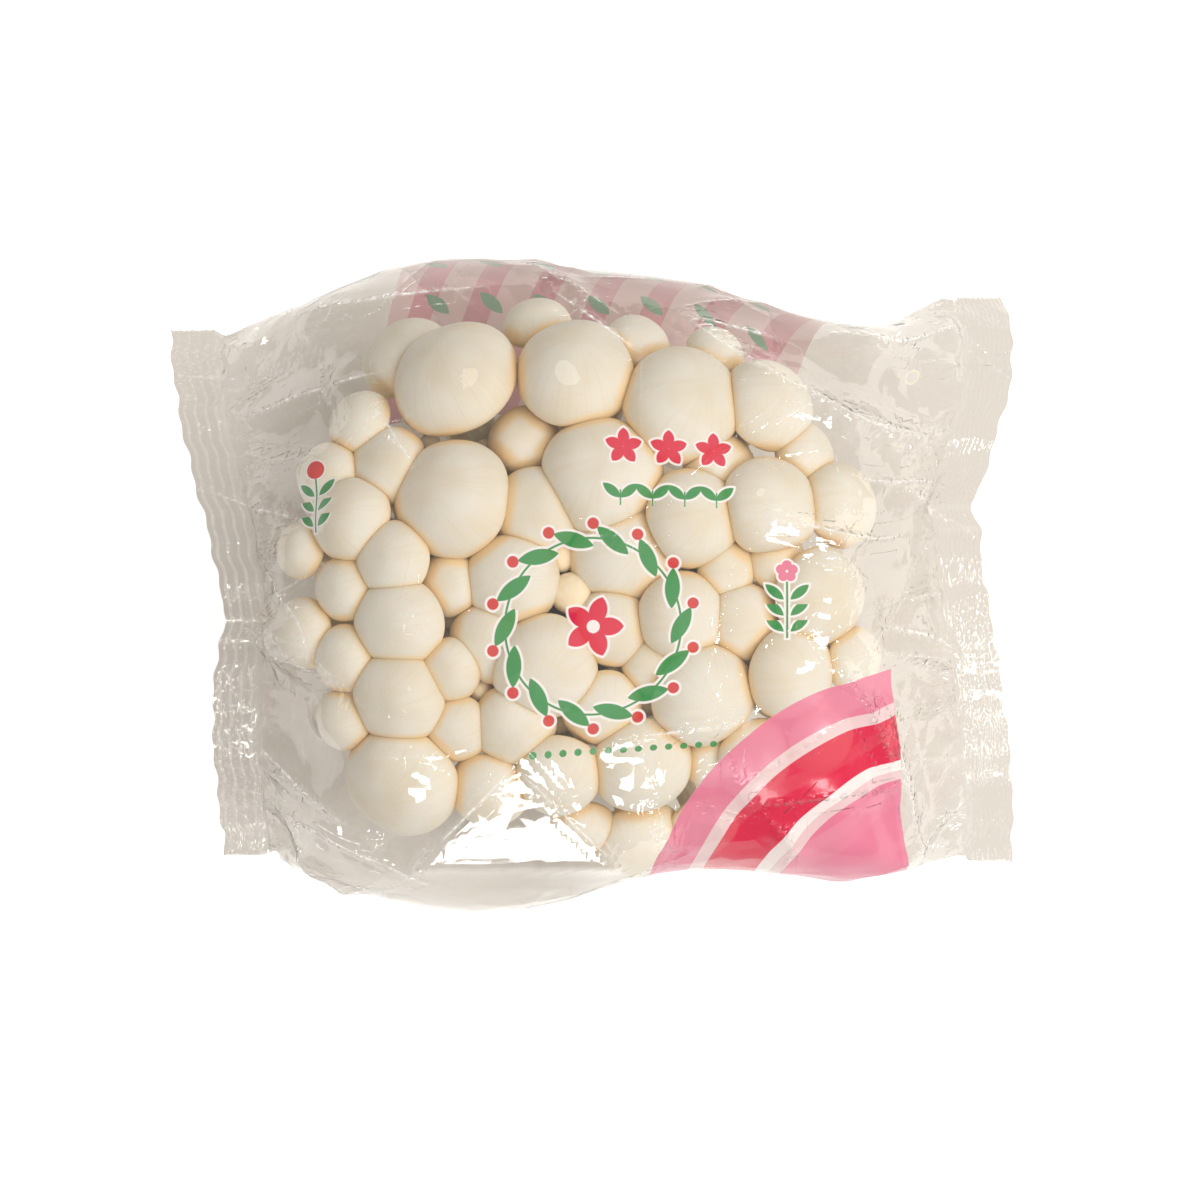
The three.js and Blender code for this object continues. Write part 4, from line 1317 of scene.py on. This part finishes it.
# name, motif, half width and half height in mm of the field that holds it, and the place of its
# middle in the plan, in mm; the panel is on the far side, past the middle of the +Y flank
MOTIFS = (
    ("corner", corner_arcs, 60, 60, (64, -57)),
    ("wreath", wreath, 22.5, 22.5, (0, -9)),
    ("row", flower_row, 15, 8.5, (15, 22)),
    ("left", lambda x, y: sprig(x, y, False), 8, 10, (-54, 17)),
    ("right", lambda x, y: sprig(x, y, True), 8, 10, (39, -4)),
    ("dots", dotted_line, 19.2, 1, (6, -33)),
    ("panel", far_panel, 52, 23, None),
    ("vent", vent_ring, 2.5, 2.5, (64, 42)))
PANEL_PAST_FLANK = 20
places = {name: (0, girth / 4 / MM + PANEL_PAST_FLANK) if plan is None else flat_place(tube, *plan)
          for name, _, _, _, plan in MOTIFS}
print("print places on the flat cut, mm:", {k: [round(float(c)) for c in p] for k, p in places.items()})

# %% [markdown]
# The film itself is a mixture. Most of it lets light through with a slight warm tint, which is
# partly painted shade: it darkens the white floor seen through the film the way the shade round the
# pack would. A little of it is a hazy white, which gathers where the film is creased. Along the
# crease lines this white is a painted glint, and partly the whitening of the crease itself. All of
# it mirrors, more strongly the flatter one looks along it. The creases, crumples and the ribs of
# the end seals are a bump.

# %% Film material
# The warm tint is partly the film's own and partly painted shade: it darkens the floor seen through the
# film.
FILM_TINT_AND_SHADE = (0.952, 0.926, 0.900)
SHEEN = 0.085
INK_COVER = 0.9
FACET_SIZE, FACET_SLOPE = 6.0, 0.10
RIDGE_WIDTH, RIDGE_HEIGHT = 1.3, 0.60
LEFT_RIBS, RIGHT_RIBS, RIB_SLOPE = 2.1, 0.95, 0.07
CLOUD_SIZE, BEAD_SIZE = 24 * MM, 1.3 * MM


def film_material(places):
    """Tinted see-through film with mirror-like sheen, ribbed end seals, fine crinkles and inks.
    Its tint is partly painted shade, and its white lines along the creases are painted glints.
    """
    material, tree, output = new_material("printed clear polypropylene film")
    flat = add_node(tree, "ShaderNodeUVMap", {"uv_map": "flat"})
    parts = add_node(tree, "ShaderNodeSeparateXYZ", inputs={0: flat.outputs[0]})
    u, v = Field(tree, parts.outputs["X"]) * 1000, Field(tree, parts.outputs["Y"]) * 1000

    flat_noise = {"noise_dimensions": "2D"}
    soft = add_node(tree, "ShaderNodeTexNoise", flat_noise, {
        "Vector": flat.outputs[0], "Scale": 1 / CLOUD_SIZE, "Detail": 0.0})
    beads = add_node(tree, "ShaderNodeTexNoise", flat_noise, {
        "Vector": flat.outputs[0], "Scale": 1 / BEAD_SIZE, "Detail": 0.0})
    facets = add_node(tree, "ShaderNodeTexVoronoi", {"voronoi_dimensions": "2D"}, {
        "Vector": flat.outputs[0], "Scale": 1 / (FACET_SIZE * MM)})
    lines = add_node(tree, "ShaderNodeSeparateXYZ", inputs={0: add_node(
        tree, "ShaderNodeAttribute", {"attribute_name": "crease"}).outputs["Vector"]})
    off_line, mark, crease = (Field(tree, lines.outputs[axis]) for axis in "XYZ")
    patchy = ((Field(tree, beads.outputs[0]) - 0.36) * 4).most(0).least(1)
    calm = Field(tree, add_node(tree, "ShaderNodeAttribute", {"attribute_name": "calm"}).outputs["Fac"])
    crumpled = ((Field(tree, soft.outputs[0]) - 0.42) * 5).most(0.12).least(1) * (calm * -0.40 + 1)
    ridge = (abs(off_line) * (-1 / RIDGE_WIDTH) + 1).most(0)

    seal_edge = film_length / 2 / MM - SEAL_WIDTH / MM
    in_left, in_right = ((u * sign - seal_edge).math("GREATER_THAN", 0) for sign in (-1, 1))
    left_ribs = (u * (2 * math.pi / LEFT_RIBS)).sin() * in_left
    right_ribs = (u * (2 * math.pi / RIGHT_RIBS)).sin() * in_right
    rib_height = left_ribs * (LEFT_RIBS * RIB_SLOPE) + right_ribs * (RIGHT_RIBS * RIB_SLOPE)
    height = (Field(tree, facets.outputs["Distance"]) * (FACET_SIZE * FACET_SLOPE) * crumpled
              + ridge * ridge * mark * RIDGE_HEIGHT * (patchy * 0.7 + 0.3)
              + rib_height * patchy)
    bump = add_node(tree, "ShaderNodeBump", inputs={
        "Strength": 1.0, "Distance": 1 * MM, "Height": height.value})

    # Painted glint: a thin white line along each crease stands in for the glints on its ridge, and is partly
    # the whitening of the creased film.
    edge = (abs(off_line) * -2.6 + 1).most(0) * mark * mark * (patchy * 0.6 + 0.4)
    ribs = (left_ribs.most(0) + right_ribs.most(0) * 0.6) * (patchy * 0.6 + 0.4)
    haze_and_glint = (crease * 0.14 + edge * 0.9 + ribs * 0.20 + 0.02).least(0.8)
    facing = Field(tree, add_node(tree, "ShaderNodeLayerWeight", inputs={
        "Blend": 0.5, "Normal": bump.outputs[0]}).outputs["Facing"])
    mirror = facing.math("POWER", 5) * (1 - SHEEN) + SHEEN

    def clear():
        """The shaders of clear film. Each field of print has its own set of them, so that Blender
        works out a field's ink only inside the field."""
        tint_and_shade = add_node(tree, "ShaderNodeBsdfTransparent", inputs={"Color": (*FILM_TINT_AND_SHADE, 1)})
        white_haze_and_glint = add_node(tree, "ShaderNodeBsdfDiffuse", inputs={"Color": linear("#f6f2ec")})
        body = add_node(tree, "ShaderNodeMixShader", inputs={
            0: haze_and_glint.value, 1: tint_and_shade.outputs[0], 2: white_haze_and_glint.outputs[0]})
        gloss = add_node(tree, "ShaderNodeBsdfGlossy", {"distribution": "GGX"}, {
            "Color": linear("#ffffff"), "Roughness": 0.06, "Normal": bump.outputs[0]})
        return add_node(tree, "ShaderNodeMixShader", inputs={
            0: mirror.value, 1: body.outputs[0], 2: gloss.outputs[0]})

    film = clear()
    for name, motif, half_width, half_height, _ in MOTIFS:
        middle_u, middle_v = places[name]
        field = u.math("COMPARE", middle_u, half_width) * v.math("COMPARE", middle_v, half_height)
        cover, colour = None, linear(WHITE)
        for distance, ink in motif(u - middle_u, v - middle_v):
            mask = distance.inside()
            colour = add_node(tree, "ShaderNodeMix", {"data_type": "RGBA"}, {
                0: mask.value, 6: colour, 7: linear(ink)}).outputs[2]
            cover = mask if cover is None else cover.most(mask)
        ink = add_node(tree, "ShaderNodeBsdfPrincipled", {"distribution": "GGX"}, {
            "Base Color": colour, "Roughness": 0.25, "IOR": 1.5, "Normal": bump.outputs[0]})
        inked = add_node(tree, "ShaderNodeMixShader", inputs={
            0: (cover * INK_COVER).value, 1: clear().outputs[0], 2: ink.outputs[0]})
        film = add_node(tree, "ShaderNodeMixShader", inputs={
            0: field.value, 1: film.outputs[0], 2: inked.outputs[0]})
    hole = disc(u - places["vent"][0], v - places["vent"][1], VENT_RADIUS)
    film = add_node(tree, "ShaderNodeMixShader", inputs={
        0: hole.inside().value, 1: film.outputs[0],
        2: add_node(tree, "ShaderNodeBsdfTransparent", inputs={"Color": (1, 1, 1, 1)}).outputs[0]})
    tree.links.new(film.outputs[0], output.inputs["Surface"])
    return material


# %% The film
film = add_piece("film", film_mesh(tube, calm), film_material(places), "clear_film", "film_wrap")
film.visible_shadow = False
film.visible_diffuse = False
print("nodes in the film's material:", len(film.data.materials[0].node_tree.nodes))

# %% [markdown]
# ## The mycelium base with its pinheads
# The bunch grows from a pressed block of mycelium, a cream crust of small knobs. Between the
# grown stems stand pinheads, mushrooms that stopped growing for want of light. They fill the
# gaps between the caps, so that one looks down on warm flesh there and not into the dark.

# %% Block
BASE_TURNS, BASE_ROWS = 160, 60
KNOBS = 260
base_rng = np.random.default_rng(11)


def base_surface():
    """Grid, top and bottom of the block: a flattened dome, (sin a, cos a) to a power, with
    knobs, rounded into a flat underside."""
    turn = np.arange(BASE_TURNS) / BASE_TURNS * 2 * math.pi
    angle = np.linspace(0, math.pi / 2, BASE_ROWS + 1)[1:]
    out = np.concatenate([np.sin(angle) ** 0.8, [0.985, 0.96, 0.6, 0.2]])
    up = np.concatenate([np.cos(angle) ** 0.7 * 0.97 + 0.03, [0.01, 0, 0, 0]])
    corner = (np.abs(np.cos(turn)) ** 3 + np.abs(np.sin(turn)) ** 3) ** (-1 / 3)
    flat = np.stack([np.cos(turn), np.sin(turn)], -1) * corner[:, None]
    grid = np.empty((len(out), BASE_TURNS, 3))
    grid[..., :2] = base_foot[:2] + out[:, None, None] * flat * base_reach[:2] * 0.97
    grid[..., 2] = base_low[2] + up[:, None] * base_reach[2] * 0.9
    where_knobs = base_foot[:2] + base_rng.uniform(-1, 1, (KNOBS, 2)) * base_reach[:2]
    width = base_rng.uniform(1.2, 3.2, KNOBS) * MM
    away = np.linalg.norm(grid[:, :, None, :2] - where_knobs, axis=-1) / width
    lift = (np.maximum(1 - away ** 2, 0) ** 0.5 * width * 0.6).max(-1)
    grid[..., 2] += lift * smooth_step(up / 0.3)[:, None]
    return grid, grid[0].mean(0), base_foot


block = base_surface()
print("block: rows and turns", block[0].shape[:2])


# %% Pinheads
PIN_TURNS = 24
PIN_TOP, PIN_LOW = 43 * MM, 16 * MM
PIN_SPACING = 5.5 * MM
BUNCH_MIDDLE, BUNCH_REACH = np.array([0, 3]) * MM, np.array([43, 40]) * MM
CAP_COVER = 0.93
PIN_ROOT_SHARE = 0.62       # a pinhead's root is nearer to the middle of the base than its cap
PIN_CROWN = 0.92


def gap_places():
    """Places of the plan that no cap covers, inside the bunch, at least a spacing apart."""
    x, y = np.meshgrid(np.arange(-46, 46) * MM, np.arange(-42, 46) * MM, indexing="ij")
    plan = np.stack([x, y], -1).reshape(-1, 2)
    plan = plan[np.linalg.norm((plan - BUNCH_MIDDLE) / BUNCH_REACH, axis=-1) < 1]
    room = np.min([np.linalg.norm(plan - m["cap"][:2], axis=-1) - CAP_COVER * m["radius"]
                   for m in mushrooms], axis=0)
    order = np.argsort(-room)
    chosen = []
    for k in order[room[order] > 0.3 * MM]:
        if all(np.linalg.norm(plan[k] - plan[c]) > PIN_SPACING for c in chosen):
            chosen.append(k)
    return [(plan[k], room[k]) for k in chosen]


def pinhead(place, room):
    """Grid and poles of a pinhead under a gap: a small round cap on a thin stem, as high as the
    caps round it leave space, or None where there is none."""
    size = np.clip(room + 1.6 * MM, 2.2 * MM, 4.6 * MM)
    heights = np.arange(PIN_TOP, PIN_LOW, -0.5 * MM)
    line = np.column_stack([np.tile(place, (len(heights), 1)), heights])
    free = read_clearance(line)[0] > 0.55 * size
    if not free.any():
        return None
    head = line[np.argmax(free)]
    foot_place = base_foot[:2] + (place - base_foot[:2]) * PIN_ROOT_SHARE
    foot = np.array([*foot_place, base_low[2] + 0.5 * base_reach[2]])
    turn = np.arange(PIN_TURNS) / PIN_TURNS * 2 * math.pi
    ring = np.stack([np.cos(turn), np.sin(turn), 0 * turn], -1)
    angle = np.linspace(0, 0.72 * math.pi, 15)[1:]
    out, up = np.sin(angle)[:, None, None], PIN_CROWN * np.cos(angle)[:, None, None]
    cap_rows = head + size * (out * ring + up * [0, 0, 1])
    down = np.linspace(0, 1, 8)[:, None, None]
    under = head - [0, 0, 0.5 * size]
    stem_rows = under + (foot - under) * down + ring * size * (0.42 + 0.1 * down)
    return np.concatenate([cap_rows, stem_rows]), head + [0, 0, PIN_CROWN * size], foot


pins = [pin for pin in (pinhead(place, room) for place, room in gap_places()) if pin is not None]
print("pinheads:", len(pins))

# %% Mycelium
mycelium, tree, output = new_material("pressed mycelium block")
spot = add_node(tree, "ShaderNodeTexCoord")
crust = add_node(tree, "ShaderNodeTexNoise", inputs={
    "Vector": spot.outputs["Object"], "Scale": 1 / (1.5 * MM), "Detail": 1.0})
shade = add_node(tree, "ShaderNodeMix", {"data_type": "RGBA"}, {
    0: crust.outputs[0], 6: linear("#f3dcb4"), 7: linear("#f8ecd2")})
fuzz = add_node(tree, "ShaderNodeBump", inputs={
    "Strength": 0.5, "Distance": 0.3 * MM, "Height": crust.outputs[0]})
cream = add_node(tree, "ShaderNodeBsdfPrincipled", {"distribution": "GGX"}, {
    "Base Color": shade.outputs[2], "Roughness": 0.85, "Specular IOR Level": 0.2, "Normal": fuzz.outputs[0]})
tree.links.new(cream.outputs[0], output.inputs["Surface"])
base = add_piece("mycelium", grid_mesh("mycelium", block, *pins), mycelium, "mycelium", "mycelium_base")
print("quads and triangles in the base:", len(base.data.polygons))
